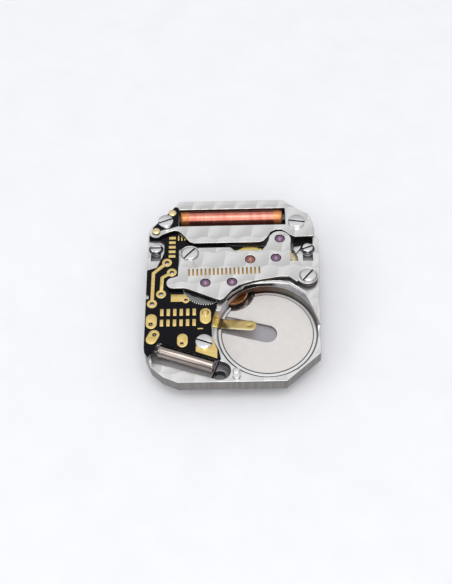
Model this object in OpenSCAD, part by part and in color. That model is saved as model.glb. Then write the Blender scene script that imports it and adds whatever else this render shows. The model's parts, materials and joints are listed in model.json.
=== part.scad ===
// Slim two-hand quartz form movement, bridge side up and dial side down.
// The origin is on the hands' axis at the dial seat. X runs to the side away from the stem,
// Y runs towards the coil and Z points to the bridge side. All sizes are in millimetres.

/* [Main plate] */
// Width of the main plate
plate_w = 12.4; // [12.3:0.05:12.8]
// From the hands' axis to the plate's far edge, beyond the coil
plate_far = 7.75; // [7.7:0.05:8.2]
// From the hands' axis to the plate's near edge, beside the battery well
plate_near = 7.45; // [7.4:0.05:7.8]
// Height of the plate's seat for the circuit board
plate_t = 2.0; // [1.98:0.01:2.02]
// Height of the low terrace round the battery well and the crystal
terrace_h = 1.1; // [1.06:0.01:1.2]
// Height of the rim along the coil
rim_h = 2.12; // [2.05:0.01:2.16]
// Depth of the motion work's recess on the dial side
dial_recess_h = 0.4; // [0.38:0.01:0.42]
// Thickness of the floor between the train and the motion work
web_t = 0.1; // [0.08:0.01:0.12]
// Width and depth of the far left corner cut
far_left_cut = [2.3, 2.75];
// Width and depth of the far right corner cut
far_right_cut = [2.2, 2.55];
// Width and depth of the near right corner cut
near_right_cut = [2.5, 2.2];
// Width and depth of the near left corner cut
near_left_cut = [2.35, 2.25];
// How far the plate's right side stands out beside its dial foot
lug_w = 0.22; // [0.18:0.01:0.26]

/* [Battery well] */
// Centre of the battery well
well_pos = [2.45, -3.53];
// Radius of the well, for a cell of 6.8 mm diameter
well_r = 3.6; // [3.5:0.01:3.62]
// Height of the well's floor above the dial seat
well_floor = 1.0; // [0.96:0.01:1.04]
// Radius of the insulating disc
insulator_r = 3.24; // [3.1:0.01:3.4]
// Width of the groove round the well's floor
groove_w = 0.1; // [0.08:0.01:0.14]
// Depth of that groove
groove_h = 0.15; // [0.1:0.01:0.2]
// Height of the ledge at the well's far right
ledge_h = 1.72; // [1.6:0.01:1.8]
// Thickness of the insulating disc
insulator_t = 0.05; // [0.04:0.01:0.08]
// Width of the contact's slot in the floor
slot_w = 1.45; // [1.3:0.01:1.5]
// Direction of the contact's slot, from the X axis
slot_turn = -15.5; // [-17:0.5:-14]
// Length of the slot, from its round end's centre
slot_len = 4.3; // [4.25:0.01:4.35]
// Height of the slot's floor
slot_floor = 0.8; // [0.78:0.01:0.84]
// Centre of the battery locating post
post_pos = [0.22, -7.0];
// Radius of the battery locating post
post_r = 0.25; // [0.2:0.01:0.26]
// Height of the post's top
post_top = 1.9; // [1.7:0.01:2.1]

/* [Battery contact] */
// Thickness of the contact strip
contact_t = 0.06; // [0.05:0.01:0.08]
// Width of the contact's blade
blade_w = 0.8; // [0.6:0.01:0.9]
// Length of the blade from its bend to its tip
blade_len = 2.6; // [2.4:0.01:2.8]
// Rise of the free blade above the floor, in degrees
blade_rise = 15.5; // [12:0.5:17]
// From the slot's round end back to the blade's bend
blade_back = 3.3; // [3.25:0.01:3.4]
// Height of the blade's bend
blade_z = 1.1; // [1.05:0.01:1.15]

/* [Going train] */
// Position of the rotor
rotor_pos = [3.57, 3.81];
// Position of the first wheel
first_pos = [3.23, 2.07];
// Position of the second wheel
second_pos = [1.35, 1.97];
// Position of the third wheel
third_pos = [-1.92, -0.03];
// Thickness of a train wheel
wheel_t = 0.1; // [0.08:0.01:0.11]
// Radius of a train arbor
arbor_r = 0.12; // [0.1:0.01:0.13]
// Radius of a train pivot
pivot_r = 0.05; // [0.04:0.005:0.06]
// Radius of the rotor's magnet
magnet_r = 0.5; // [0.45:0.01:0.54]
// Height of the rotor's magnet
magnet_h = 0.3; // [0.2:0.01:0.32]
// Radius of a jewel
jewel_r = 0.37; // [0.34:0.01:0.38]
// Thickness of a jewel
jewel_t = 0.2; // [0.16:0.01:0.22]
// Radius of the round recess on the hands' axis
centre_recess_r = 1.62; // [1.6:0.01:1.64]
// Height of that recess's roof
centre_recess_top = 1.24; // [1.22:0.01:1.28]
// Height of the upper centre wheel and of the wheel that drives it
low_z = 1.06; // [1.02:0.01:1.07]

/* [Train bridge] */
// Thickness of the train bridge
bridge_t = 0.27; // [0.25:0.01:0.3]
// Gap between the circuit board and the bridge
bridge_gap = 0.03; // [0.02:0.01:0.04]
// Position of the bridge's left screw
bridge_screw_a = [-3.07, 2.57];
// Position of the bridge's right screw
bridge_screw_b = [5.5, 0.42];

/* [Hands and motion work] */
// Radius of the centre arbor
centre_arbor_r = 0.2; // [0.18:0.01:0.22]
// Outer radius of the cannon pinion's pipe
cannon_r = 0.3; // [0.28:0.005:0.31]
// Outer radius of the cannon pinion's tip, which carries the minute hand
minute_seat_r = 0.26; // [0.25:0.005:0.27]
// Outer radius of the hour wheel's pipe
hour_r = 0.5; // [0.45:0.01:0.55]
// Radius of the hour wheel's hub, where it passes the cover
hour_hub_r = 0.7; // [0.67:0.01:0.72]
// Depth of that hub below the dial seat
hour_hub_drop = 0.05; // [0.04:0.01:0.06]
// Length of the cannon pinion below the dial seat
cannon_drop = 1.3; // [1.2:0.01:1.6]
// Length of the hour wheel's pipe below the dial seat
hour_drop = 0.85; // [0.7:0.01:1.0]
// Position of the minute wheel
minute_pos = [-0.84, 1.455];
// Position of the setting wheel
setting_pos = [-2.72, 0.92];
// Radius of the posts that carry the minute and setting wheels
stud_r = 0.15; // [0.12:0.01:0.18]
// Thickness of the cover over the motion work
cover_t = 0.06; // [0.05:0.01:0.08]

/* [Coil] */
// Distance of the coil's axis from the hands' axis
coil_y = 6.375; // [6.35:0.005:6.4]
// Height of the coil's axis
coil_z = 1.7; // [1.69:0.01:1.71]
// Radius of the winding
coil_r = 0.575; // [0.5:0.005:0.6]
// Length of the winding
coil_len = 7.7; // [7.0:0.1:7.8]
// Width of the core inside the winding
core_w = 0.5; // [0.4:0.01:0.6]
// Thickness of the core and of the stator
core_t = 0.2; // [0.18:0.01:0.21]
// Width of the rounded ends of the core and the stator, under the screws
coil_end_w = 0.88; // [0.8:0.01:0.9]
// Width of the core's arms, from the winding to the screws
core_arm_w = 0.6; // [0.5:0.01:0.62]
// Radius of the stator's hole for the rotor
stator_bore_r = 0.6; // [0.58:0.01:0.62]
// Position of the screw at the coil's left end
coil_screw_a = [-4.91, 5.5];
// Position of the screw at the coil's right end
coil_screw_b = [4.87, 5.3];
// Thickness of the coil plate
coil_plate_t = 0.25; // [0.22:0.01:0.3]
// Thickness of the coil's own small board
coil_board_t = 0.08; // [0.06:0.01:0.1]

/* [Circuit] */
// Thickness of the circuit board
board_t = 0.15; // [0.12:0.01:0.16]
// Thickness of the gold tracks on the board
track_t = 0.02; // [0.01:0.01:0.03]
// Width of a track
track_w = 0.25; // [0.2:0.01:0.3]
// Side of the chip under the board
chip_w = 1.7; // [1.5:0.05:1.75]
// Height of the chip
chip_h = 0.5; // [0.4:0.01:0.52]
// Position of the chip
chip_pos = [-3.9, -3.0];
// Distance of the crystal's left end from the plate's left edge
crystal_inset = 1.02; // [0.98:0.01:1.06]
// Distance of the crystal's left end from the plate's near edge
crystal_lift = 2.34; // [2.3:0.01:2.37]
// Length of the crystal's can
crystal_len = 4.13; // [4.0:0.01:4.15]
// Direction of the crystal's axis, from the X axis
crystal_turn = -19.7; // [-20:0.1:-19]
// Radius of the crystal's can
crystal_r = 0.475; // [0.45:0.005:0.48]
// Height of the crystal's axis
crystal_z = 1.56; // [1.54:0.01:1.6]
// Width of the crystal's recess in the plate
crystal_recess_w = 1.44; // [1.4:0.01:1.46]
// Width of the hole at that recess's far end
crystal_hole_w = 0.64; // [0.6:0.01:0.66]

/* [Screws] */
// Radius of a screw's shank
shank_r = 0.2; // [0.18:0.01:0.21]
// Width of a screwdriver slot
slit_w = 0.12; // [0.08:0.01:0.14]
// Depth of a screwdriver slot
slit_h = 0.1; // [0.06:0.01:0.12]
// Height of an ordinary screw head
head_h = 0.2; // [0.16:0.01:0.24]

/* [Stem side] */
// Radius of the stem's tunnel
stem_r = 0.35; // [0.32:0.01:0.36]
// Height of the stem's axis
stem_z = 0.85; // [0.84:0.01:0.87]
// Length of the stem's tunnel, from the plate's edge to the sliding pinion's recess
stem_len = 0.75; // [0.72:0.01:0.78]
// Radius of the sliding pinion
clutch_r = 0.42; // [0.4:0.01:0.43]
// Free space round the sliding pinion in its recess
clutch_room = 0.1; // [0.1:0.01:0.12]
// Length of the sliding pinion
clutch_len = 0.9; // [0.86:0.01:0.92]
// Travel of the sliding pinion
clutch_travel = 0.35; // [0.3:0.01:0.36]
// Thickness of the setting lever and the yoke
lever_t = 0.12; // [0.1:0.01:0.14]
// Pivot of the setting lever
lever_pos = [-5.05, 1.35];
// Pivot of the yoke
yoke_pos = [-3.875, -2.3];

/* [Dial feet] */
// Distance of the dial feet's holes and screws from the plate's sides
foot_inset = 0.6; // [0.58:0.01:0.62]
// Distance of the left dial foot's hole from the line of the stem
foot_a_y = 2.34; // [2.3:0.01:2.36]
// Distance of the right dial foot's hole from the line of the stem
foot_b_y = 2.12; // [2.08:0.01:2.16]
// Radius of the dial feet's holes
foot_r = 0.36; // [0.34:0.01:0.38]
// Distance from a dial foot's hole to its screw
foot_step = 1.02; // [1.0:0.01:1.05]
// Depth of the dial feet's blind holes
foot_hole_h = 1.2; // [1.1:0.01:1.3]
// Height of the floor under the dial feet's screws
foot_floor = 1.5; // [1.45:0.01:1.55]
// Radius of the flange on a dial foot's screw
foot_flange_r = 0.47; // [0.45:0.01:0.48]
// Height of the underside of that screw's head
foot_head_z = 1.84; // [1.8:0.01:1.88]
// Height of that screw's head
foot_head_h = 0.36; // [0.3:0.01:0.4]

/* [Clearances] */
// Gap round a piece pressed or screwed into another
fit = 0.005; // [0.005:0.001:0.008]
// Radial gap of a pivot or shaft that turns in a hole
run = 0.015; // [0.012:0.001:0.02]
// Free space round a wheel in its recess
room = 0.07; // [0.05:0.01:0.08]
// End play of an arbor
shake = 0.02; // [0.015:0.005:0.025]

/* [Hidden] */
$fn = 64;
far = 20;
left = -plate_w / 2;
right = plate_w / 2;
foot_a = [left + foot_inset, foot_a_y];
foot_b = [right - foot_inset, foot_b_y];
foot_screw_a = foot_a + [0, foot_step];
foot_screw_b = foot_b + [0, foot_step];
crystal_dir = [cos(crystal_turn), sin(crystal_turn)];
crystal_a = [left + crystal_inset, crystal_lift - plate_near];
crystal_b = crystal_a + crystal_len * crystal_dir;

// Levels, from the dial seat up
train_floor = dial_recess_h + web_t;
centre_z = train_floor + 2 * shake;
centre_roof = centre_z + wheel_t + 4 * shake;
second_floor = train_floor + jewel_t;
first_floor = second_floor + 0.25;
stator_z = coil_z - 1.5 * core_t;
core_z = stator_z + core_t;
first_z = core_z + 6 * shake;
high_z = plate_t - 3 * shake;
third_floor = plate_t - 0.12;
third_z = plate_t - 0.05;
board_top = plate_t + board_t;
bridge_z = board_top + bridge_gap;
bridge_top = bridge_z + bridge_t;
coil_plate_z = board_top + track_t;
coil_plate_top = coil_plate_z + coil_plate_t;
coil_board_top = coil_plate_top + coil_board_t;
head_z = bridge_top - 0.08;
cannon_z = dial_recess_h - 0.04;
hour_z = cover_t + 0.04;
low_gear_t = 1.2 * wheel_t;

// Teeth of the going train, rotor to centre wheel: 360 turns of the rotor to one of the centre
rotor_n = 9;
first_n = 54;
first_pinion_n = 15;
second_n = 54;
driver_n = 60;
upper_n = 50;
upper_pinion_n = 10;
third_n = 60;
third_pinion_n = 12;
centre_n = 40;
// Teeth of the motion work: 12 turns of the minute hand to one of the hour hand
cannon_n = 12;
minute_n = 36;
minute_pinion_n = 10;
hour_n = 40;
setting_n = 20;

hands = [0, 0];
function pitch(own, mate, a, b) = norm(a - b) * own / (own + mate);
function turn(a, b) = atan2(b[1] - a[1], b[0] - a[0]);
function tip(r, n) = r * (1 + 1.7 / n);
rotor_gear_r = pitch(rotor_n, first_n, rotor_pos, first_pos);
first_gear_r = pitch(first_n, rotor_n, rotor_pos, first_pos);
first_pinion_r = pitch(first_pinion_n, second_n, first_pos, second_pos);
second_gear_r = pitch(second_n, first_pinion_n, first_pos, second_pos);
driver_r = pitch(driver_n, upper_n, second_pos, hands);
upper_gear_r = pitch(upper_n, driver_n, second_pos, hands);
upper_pinion_r = pitch(upper_pinion_n, third_n, third_pos, hands);
third_gear_r = pitch(third_n, upper_pinion_n, third_pos, hands);
third_pinion_r = pitch(third_pinion_n, centre_n, third_pos, hands);
centre_gear_r = pitch(centre_n, third_pinion_n, third_pos, hands);
cannon_gear_r = pitch(cannon_n, minute_n, hands, minute_pos);
minute_gear_r = pitch(minute_n, cannon_n, hands, minute_pos);
minute_pinion_r = pitch(minute_pinion_n, hour_n, hands, minute_pos);
hour_gear_r = pitch(hour_n, minute_pinion_n, hands, minute_pos);
setting_gear_r = norm(setting_pos - minute_pos) - minute_gear_r;

first_pocket_r = tip(first_gear_r, first_n) + room;
second_pocket_r = tip(second_gear_r, second_n) + room;
driver_pocket_r = tip(driver_r, driver_n) + room;
third_pocket_r = tip(third_gear_r, third_n) + room;
third_shaft_r = tip(third_pinion_r, third_pinion_n) + room;
rotor_pocket_r = magnet_r + 1.5 * room;
hour_pocket_r = centre_recess_r + 0.1;
lever_arm = [0.6, -0.5];
minute_pocket_r = tip(minute_gear_r, minute_n) + room;
setting_pocket_r = tip(setting_gear_r, setting_n) + room;

cover_screws = [[-2.2, 2.45], [-2.5, -2.3]];
circuit_screw_pos = [-2.0, -4.92];
lead_holes = [[left + 0.72, crystal_a[1] + 0.93], [left + 0.42, crystal_a[1] + 1.81]];
slot_end = well_pos - [0.03, 0.05];
crystal_far = crystal_b + [0.39, -0.05];
ledge_end = [right, -3.2];
ledge_edge = [
    [-0.45, -1.15], [0, -0.66], [0.52, -0.36], [0.9, 0.05], [1.5, 0.22], [2.2, 0.28], [3.0, 0.32],
    [4.15, 0.19], [5.26, -0.74], [5.73, -1.93], ledge_end
];
core_arms = [[coil_screw_a, [-4.2, coil_y]], [coil_screw_b, [4.2, coil_y]]];
recess_r = clutch_r + clutch_room;

// Shared shapes

module at(p, z = 0) {
    translate([p[0], p[1], z]) children();
}

module disc(p, r, z0, z1) {
    at(p, z0) cylinder(r = r, h = z1 - z0);
}

module slab(z0, z1) {
    translate([0, 0, z0]) linear_extrude(z1 - z0) children();
}

module stadium(a, b, w) {
    translate(a) circle(w / 2);
    translate(b) circle(w / 2);
    translate(a) rotate(turn(a, b)) translate([0, -w / 2]) square([norm(b - a), w]);
}

module spot(p, r) {
    translate(p) circle(r);
}

// Outline of a gear with n teeth on the pitch radius r, with a tooth pointing along the angle a
module teeth(n, r, a = 0) {
    step = 360 / n;
    inner = r * (1 - 2.2 / n);
    polygon([
        for (i = [0:n - 1], corner = [[inner, -0.3], [tip(r, n), -0.13], [tip(r, n), 0.13], [inner, 0.3]])
            let (t = a + step * (i + corner[1])) corner[0] * [cos(t), sin(t)]
    ]);
}

// A wheel with a bore and round windows in its web
module wheel(p, n, r, z, t, bore, a = 0, windows = 5) {
    ring = (r * (1 - 2.2 / n) + bore) / 2;
    at(p, z) linear_extrude(t) difference() {
        teeth(n, r, a);
        circle(bore);
        if (windows > 0) for (i = [0:windows - 1])
            rotate(360 * i / windows) translate([ring, 0]) circle(0.28 * r);
    }
}

// An arbor with a pivot at each end
module arbor(p, z0, z1) {
    disc(p, pivot_r, z0 - 0.15, z1 + 0.2);
    disc(p, arbor_r, z0, z1);
}

module jewel(p, z) {
    difference() {
        disc(p, jewel_r, z, z + jewel_t);
        disc(p, pivot_r + run, z - 1, z + 1);
        at(p, z + jewel_t - 0.07) cylinder(r1 = pivot_r + run, r2 = 0.2, h = 0.08);
    }
}

// A slotted screw whose head rests at height 0
module screw(p, z, head_r, h, slit, drop, r = shank_r) {
    bevel = 0.04;
    color("gainsboro") at(p, z) difference() {
        union() {
            rotate_extrude() polygon([
                [0, 0], [head_r, 0], [head_r, h - bevel], [head_r - bevel, h], [0, h]
            ]);
            translate([0, 0, -drop]) cylinder(r = r, h = drop + 0.01);
        }
        rotate(slit) translate([-head_r - 1, -slit_w / 2, h - slit_h]) cube([2 * head_r + 2, slit_w, 1]);
    }
}

// Main plate

module plate_outline() {
    polygon([
        [left + far_left_cut[0], plate_far],
        [right - far_right_cut[0], plate_far],
        [right, plate_far - far_right_cut[1]],
        [right, foot_screw_b[1] + 1.2],
        [right + lug_w, foot_screw_b[1] + 0.95],
        [right + lug_w, foot_screw_b[1] - 1.55],
        [right, -1.2],
        [right, near_right_cut[1] - plate_near],
        [right - near_right_cut[0], -plate_near],
        [left + near_left_cut[0], -plate_near],
        [left + 0.565 * near_left_cut[0], 0.2 * near_left_cut[1] - plate_near],
        [left + 0.195 * near_left_cut[0], 0.545 * near_left_cut[1] - plate_near],
        [left, near_left_cut[1] - plate_near],
        [left, plate_far - far_left_cut[1]]
    ]);
}

// Area at the near side that stays at the terrace's height, up the well's left side to the contact
module terrace_area() {
    polygon([
        [-far, -far], [-far, -6.15], [left + 0.3, -6.05], [left + 0.65, -5.4], crystal_a, crystal_far,
        crystal_b + [0.47, 0.3], crystal_b + [0.32, 1.0], [-1.44, -4.5], [-1.5, -3.5], [-1.4, -2.85],
        [-1.3, -2.6], [-0.6, -2.7], well_pos, ledge_end, [far, -3.2], [far, -far]
    ]);
}

// Pocket under the coil plate, which holds the stator, the core and the coil
module coil_area() {
    polygon([
        [-5.5, 4.6], [-5.5, 5.1], [-3.8, plate_far - 0.67], [3.95, plate_far - 0.67], [5.2, 6.15],
        [6.0, 5.0], [6.0, 3.6], [4.6, 3.35], [4.4, 2.7], [2.7, 2.7], [2.5, 2.95], [-2.15, 2.95],
        [-2.35, 3.45], [-3.5, 3.6], [-4.45, 4.6]
    ]);
    for (arm = core_arms) {
        stadium(arm[0], arm[1], core_arm_w + room);
        spot(arm[0], coil_end_w / 2 + room / 2);
    }
}

module slot_frame() {
    translate(slot_end) rotate(slot_turn) children();
}

module slot_shape(w) {
    slot_frame() stadium([-slot_len + w / 2, 0], [0, 0], w);
}

module crystal_pocket() {
    stadium(crystal_a + [-0.02, -0.09], crystal_far, crystal_recess_w);
}

// Pocket of a dial foot's screw, with a narrow notch over the foot's hole
module foot_pocket(foot, screw_at) {
    spot(screw_at, foot_flange_r + 0.05);
    translate(foot - [foot_r, 0.05]) square([2 * foot_r, foot_step]);
}

module keyless_area() {
    for (side = [-1, 1]) {
        stadium(yoke_pos, [yoke_pos[0] + side * clutch_travel / 2, -0.3], 1.05);
        stadium(lever_pos, [lever_pos[0] + side * clutch_travel / 2, 0], 0.66);
    }
    stadium(lever_pos, lever_pos + lever_arm, 0.7);
}

module cover_area() {
    difference() {
        union() {
            stadium(cover_screws[0], minute_pos, 0.9);
            stadium(minute_pos, setting_pos, 2.2);
            stadium(setting_pos, [-4.4, 0.9], 1.4);
            stadium([-4.6, 0.4], yoke_pos, 1.5);
            stadium(yoke_pos, cover_screws[1], 0.9);
            circle(1.25);
        }
        circle(hour_hub_r + 0.05);
    }
}

// Floor over the centre wheel, left of the opening in the well's floor
module centre_ledge() {
    difference() {
        polygon([[-0.27, -0.85], [0.07, -1.95], [-1.6, -1.95], [-1.6, -0.85]]);
        circle(tip(upper_gear_r, upper_n) + room);
    }
}

module train_cuts() {
    difference() {
        disc(hands, centre_recess_r, train_floor, centre_recess_top);
        slab(centre_roof, far) centre_ledge();
    }
    disc(hands, 0.5, train_floor, far);
    disc(third_pos, third_shaft_r, train_floor, far);
    disc(third_pos, third_pocket_r, third_floor, far);
    disc(third_pos, pivot_r + run, train_floor - 0.17, train_floor + 1);
    disc(second_pos, driver_pocket_r, second_floor, far);
    disc(second_pos, second_pocket_r, high_z - room, far);
    disc(first_pos, first_pocket_r, first_z - room, far);
    disc(rotor_pos, rotor_pocket_r, first_floor, far);
    for (p = [first_pos, rotor_pos])
        disc(p, jewel_r + fit, first_floor - jewel_t, far);
    disc(second_pos, jewel_r + fit, second_floor - jewel_t, far);
}

module dial_cuts() {
    disc(hands, hour_pocket_r, -1, dial_recess_h);
    disc(hands, centre_recess_r + 0.08, -1, train_floor);
    disc(hands, centre_recess_r, 0, train_floor + fit);
    slab(-1, dial_recess_h) {
        spot(minute_pos, minute_pocket_r);
        spot(setting_pos, setting_pocket_r);
    }
    slab(-1, cover_t) cover_area();
    slab(-1, dial_recess_h - 0.1) keyless_area();
    for (p = cover_screws)
        disc(p, shank_r + fit, -1, 0.7);
}

module stem_cuts() {
    start = left + stem_len;
    end = yoke_pos[0] + (clutch_travel + clutch_len) / 2 + room;
    translate([left - 1, 0, stem_z]) rotate([0, 90, 0]) cylinder(r = stem_r, h = stem_len + 1.1);
    translate([start, 0, stem_z]) rotate([0, 90, 0]) cylinder(r = recess_r, h = end - start);
    translate([start, -recess_r, -1]) cube([end - start, 2 * recess_r, stem_z + 1]);
}

module battery_cuts() {
    disc(well_pos, well_r, well_floor, far);
    slab(well_floor - groove_h, far) difference() {
        spot(well_pos, well_r);
        spot(well_pos, well_r - groove_w);
    }
    slab(ledge_h, far) polygon(concat(ledge_edge, [well_pos]));
    intersection() {
        slab(slot_floor, far) slot_shape(slot_w);
        disc(well_pos, insulator_r + fit, 0, far);
    }
    slab(slot_floor, far) slot_frame() translate([-slot_len, -blade_w / 2 - 0.03])
        square([slot_len, blade_w + 0.06]);
    slab(plate_t - contact_t - 0.01, far) slot_frame() translate([-5.15, -blade_w / 2 - 0.03])
        square([1, blade_w + 0.06]);
    disc(post_pos, post_r + fit, 0.5, far);
}

module circuit_cuts() {
    slab(crystal_z - crystal_r, far) crystal_pocket();
    slab(0.6, far) difference() {
        crystal_pocket();
        translate(crystal_b) rotate(crystal_turn) translate([-far, -far / 2]) square([far, far]);
    }
    at(crystal_far, -1) linear_extrude(far) rotate(crystal_turn)
        stadium([-0.06, -0.09], [0.06, -0.09], crystal_hole_w);
    slab(1.42, far) {
        stadium(crystal_a + [-0.35, 0.1], lead_holes[0], 0.5);
        stadium(lead_holes[0], lead_holes[1], 0.42);
    }
    slab(plate_t - chip_h - 0.05, far) translate(chip_pos) square(chip_w + 0.16, center = true);
}

module coil_cuts() {
    slab(stator_z, far) coil_area();
    slab(coil_z - coil_r - 0.03, far) translate([-coil_len / 2 - 0.12, coil_y - coil_r - 0.06])
        square([coil_len + 0.24, 2 * coil_r + 0.12]);
}

module screw_cuts() {
    for (p = [bridge_screw_a, bridge_screw_b, coil_screw_a, coil_screw_b, circuit_screw_pos])
        disc(p, shank_r + fit, 0.75, far);
    for (side = [[foot_a, foot_screw_a], [foot_b, foot_screw_b]]) {
        slab(foot_floor, far) foot_pocket(side[0], side[1]);
        disc(side[0], foot_r, -1, foot_hole_h);
        disc(side[1], shank_r + run, 0.5, far);
    }
}

// Thin groove from the first wheel's pocket to the right foot screw's
module oil_groove() {
    slab(plate_t - 0.2, far) stadium([4.72, 2.65], foot_screw_b + [-0.4, 0.16], 0.08);
}

module main_plate() {
    color("lightgray") {
        difference() {
            union() {
                slab(0, terrace_h) plate_outline();
                slab(0, plate_t) difference() {
                    plate_outline();
                    terrace_area();
                }
                slab(0, rim_h) intersection() {
                    plate_outline();
                    translate([-far, plate_far - 0.6]) square([2 * far, 1]);
                }
                disc(bridge_screw_a, 0.68, 0, bridge_z);
                disc(bridge_screw_b, 0.6, 0, bridge_z);
            }
            train_cuts();
            dial_cuts();
            stem_cuts();
            battery_cuts();
            circuit_cuts();
            coil_cuts();
            screw_cuts();
            oil_groove();
        }
        disc(minute_pos, stud_r, cover_t, dial_recess_h);
        disc(setting_pos, stud_r, cover_t, dial_recess_h);
        disc(lever_pos, stud_r, cover_t, dial_recess_h);
        disc(yoke_pos, stud_r, cover_t, dial_recess_h);
    }
}

// Bridges and jewels

module train_bridge() {
    color("silver") difference() {
        union() {
            slab(bridge_z, bridge_top) polygon([
                [-4.25, 0.475], [-3.92, 0.6], [-3.9, 1.3], [-3.81, 2.5], bridge_screw_a, [-2.4, 3.1],
                [-0.1, 3.1], [0.2, 2.8], [2.25, 2.8], [2.55, 3.2], [2.75, 3.7], rotor_pos,
                [4.35, 3.5], [4.3, 1.78], [4.95, 1.72], [5.1, 1.2], [5.4, 0.52], [4.66, -0.08],
                [4.12, 0.38], [3.5, 0.4], [2.5, 0.23],
                [1.5, 0.04], [0.5, -0.3], [0, -0.68], [-0.6, -1.42], [-0.85, -1.52], [-1.1, -1.48],
                [-3.17, -0.55], [-3.4, -0.475], [-4.25, -0.475]
            ]);
            disc([-4.25, 0], 0.475, bridge_z, bridge_top);
            disc(bridge_screw_a, 0.74, bridge_z, bridge_top);
            disc(rotor_pos - [0, 0.13], 0.82, bridge_z, bridge_top);
            disc(bridge_screw_b + [-0.06, 0.06], 0.79, bridge_z, bridge_top);
        }
        for (p = [hands, third_pos, second_pos, first_pos, rotor_pos])
            disc(p, jewel_r + fit, 0, far);
        for (p = [bridge_screw_a, bridge_screw_b])
            disc(p, shank_r + fit, 0, far);
        disc(bridge_screw_a, 0.66, head_z, far);
        disc(bridge_screw_b, 0.63, head_z, far);
    }
}

module bridge_jewels() {
    for (p = [hands, third_pos, first_pos, rotor_pos])
        color("mediumorchid") jewel(p, bridge_z + 0.02);
    color("indianred") jewel(second_pos, bridge_z + 0.02);
}

module plate_jewels() {
    color("mediumorchid") {
        jewel(first_pos, first_floor - jewel_t);
        jewel(rotor_pos, first_floor - jewel_t);
        jewel(second_pos, second_floor - jewel_t);
    }
}

module centre_wheel_bridge() {
    color("lightgray") difference() {
        disc(hands, centre_recess_r + 0.08 - fit, dial_recess_h, train_floor);
        disc(hands, centre_arbor_r + run, 0, 1);
    }
}

// Going train

module rotor_magnet() {
    color("dimgray") difference() {
        disc(rotor_pos, magnet_r, stator_z + core_t / 2 - magnet_h / 2, stator_z + core_t / 2 + magnet_h / 2);
        disc(rotor_pos, arbor_r + fit, 0, far);
    }
}

module rotor_pinion() {
    color("silver") {
        arbor(rotor_pos, first_floor + shake, bridge_z - shake);
        at(rotor_pos, first_z - shake) linear_extrude(wheel_t + 2 * shake)
            teeth(rotor_n, rotor_gear_r, turn(rotor_pos, first_pos) + 180 / rotor_n);
    }
}

module first_wheel() {
    color("goldenrod") wheel(first_pos, first_n, first_gear_r, first_z, wheel_t, arbor_r + fit,
        turn(first_pos, rotor_pos));
}

module first_pinion() {
    color("silver") {
        arbor(first_pos, first_floor + shake, bridge_z - shake);
        at(first_pos, high_z - shake) linear_extrude(wheel_t + 2 * shake)
            teeth(first_pinion_n, first_pinion_r, turn(first_pos, second_pos) + 180 / first_pinion_n);
    }
}

module second_wheel() {
    color("gold") wheel(second_pos, second_n, second_gear_r, high_z, wheel_t, arbor_r + fit,
        turn(second_pos, first_pos));
}

module second_lower_wheel() {
    color("silver") {
        arbor(second_pos, second_floor + shake, bridge_z - shake);
        at(second_pos, low_z) linear_extrude(low_gear_t)
            teeth(driver_n, driver_r, turn(second_pos, hands) + 180 / driver_n);
    }
}

module upper_centre_wheel() {
    color("gold") wheel(hands, upper_n, upper_gear_r, low_z, low_gear_t, arbor_r + fit,
        turn(hands, second_pos), 0);
}

module upper_centre_pinion() {
    color("silver") {
        arbor(hands, low_z - 2 * shake, bridge_z - shake);
        at(hands, third_z - 0.05) linear_extrude(wheel_t + 0.1)
            teeth(upper_pinion_n, upper_pinion_r, turn(hands, third_pos) + 180 / upper_pinion_n);
    }
}

module third_wheel() {
    color("silver") wheel(third_pos, third_n, third_gear_r, third_z, wheel_t + 0.02, arbor_r + fit,
        turn(third_pos, hands));
}

module third_pinion() {
    color("silver") {
        arbor(third_pos, train_floor + shake, bridge_z - shake);
        at(third_pos, centre_z - shake / 2) linear_extrude(wheel_t + shake)
            teeth(third_pinion_n, third_pinion_r, turn(third_pos, hands) + 180 / third_pinion_n);
    }
}

module centre_wheel() {
    color("goldenrod") wheel(hands, centre_n, centre_gear_r, centre_z, wheel_t, centre_arbor_r + fit,
        turn(hands, third_pos));
}

module centre_arbor() {
    top = low_z - 3 * shake;
    color("silver") difference() {
        union() {
            disc(hands, centre_arbor_r, 0.15 - cannon_drop, top);
            disc(hands, centre_arbor_r + 0.12, centre_z + wheel_t, top);
            disc(hands, centre_arbor_r + 0.1, train_floor + shake / 2, centre_z);
        }
        disc(hands, pivot_r + run, top - 0.16, far);
    }
}

// Motion work and stem side, on the dial side

module cannon_pinion() {
    color("silver") difference() {
        union() {
            disc(hands, minute_seat_r, -cannon_drop, 0);
            disc(hands, cannon_r, -hour_drop - shake, cannon_z);
            at(hands, hour_z + 0.14) linear_extrude(cannon_z - hour_z - 0.14)
                teeth(cannon_n, cannon_gear_r, turn(hands, minute_pos));
        }
        disc(hands, centre_arbor_r + run, -far, far);
    }
}

module minute_wheel() {
    color("goldenrod") wheel(minute_pos, minute_n, minute_gear_r, hour_z + 0.14, cannon_z - hour_z - 0.14,
        2 * stud_r, turn(minute_pos, hands) + 180 / minute_n, 4);
}

module minute_pinion() {
    color("silver") at(minute_pos, hour_z) linear_extrude(0.14) difference() {
        teeth(minute_pinion_n, minute_pinion_r, turn(minute_pos, hands));
        circle(stud_r + run);
    }
    color("silver") difference() {
        disc(minute_pos, 2 * stud_r - fit, hour_z + 0.1, cannon_z);
        disc(minute_pos, stud_r + run, 0, 1);
    }
}

module hour_wheel() {
    color("goldenrod") {
        wheel(
            hands, hour_n, hour_gear_r, hour_z, 0.1, cannon_r + run, turn(hands, minute_pos) + 180 / hour_n, 0
        );
        difference() {
            union() {
                disc(hands, hour_r, -hour_drop, hour_z + 0.1);
                disc(hands, hour_hub_r, -hour_hub_drop, hour_z + 0.1);
            }
            disc(hands, cannon_r + run, -far, far);
        }
    }
}

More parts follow.
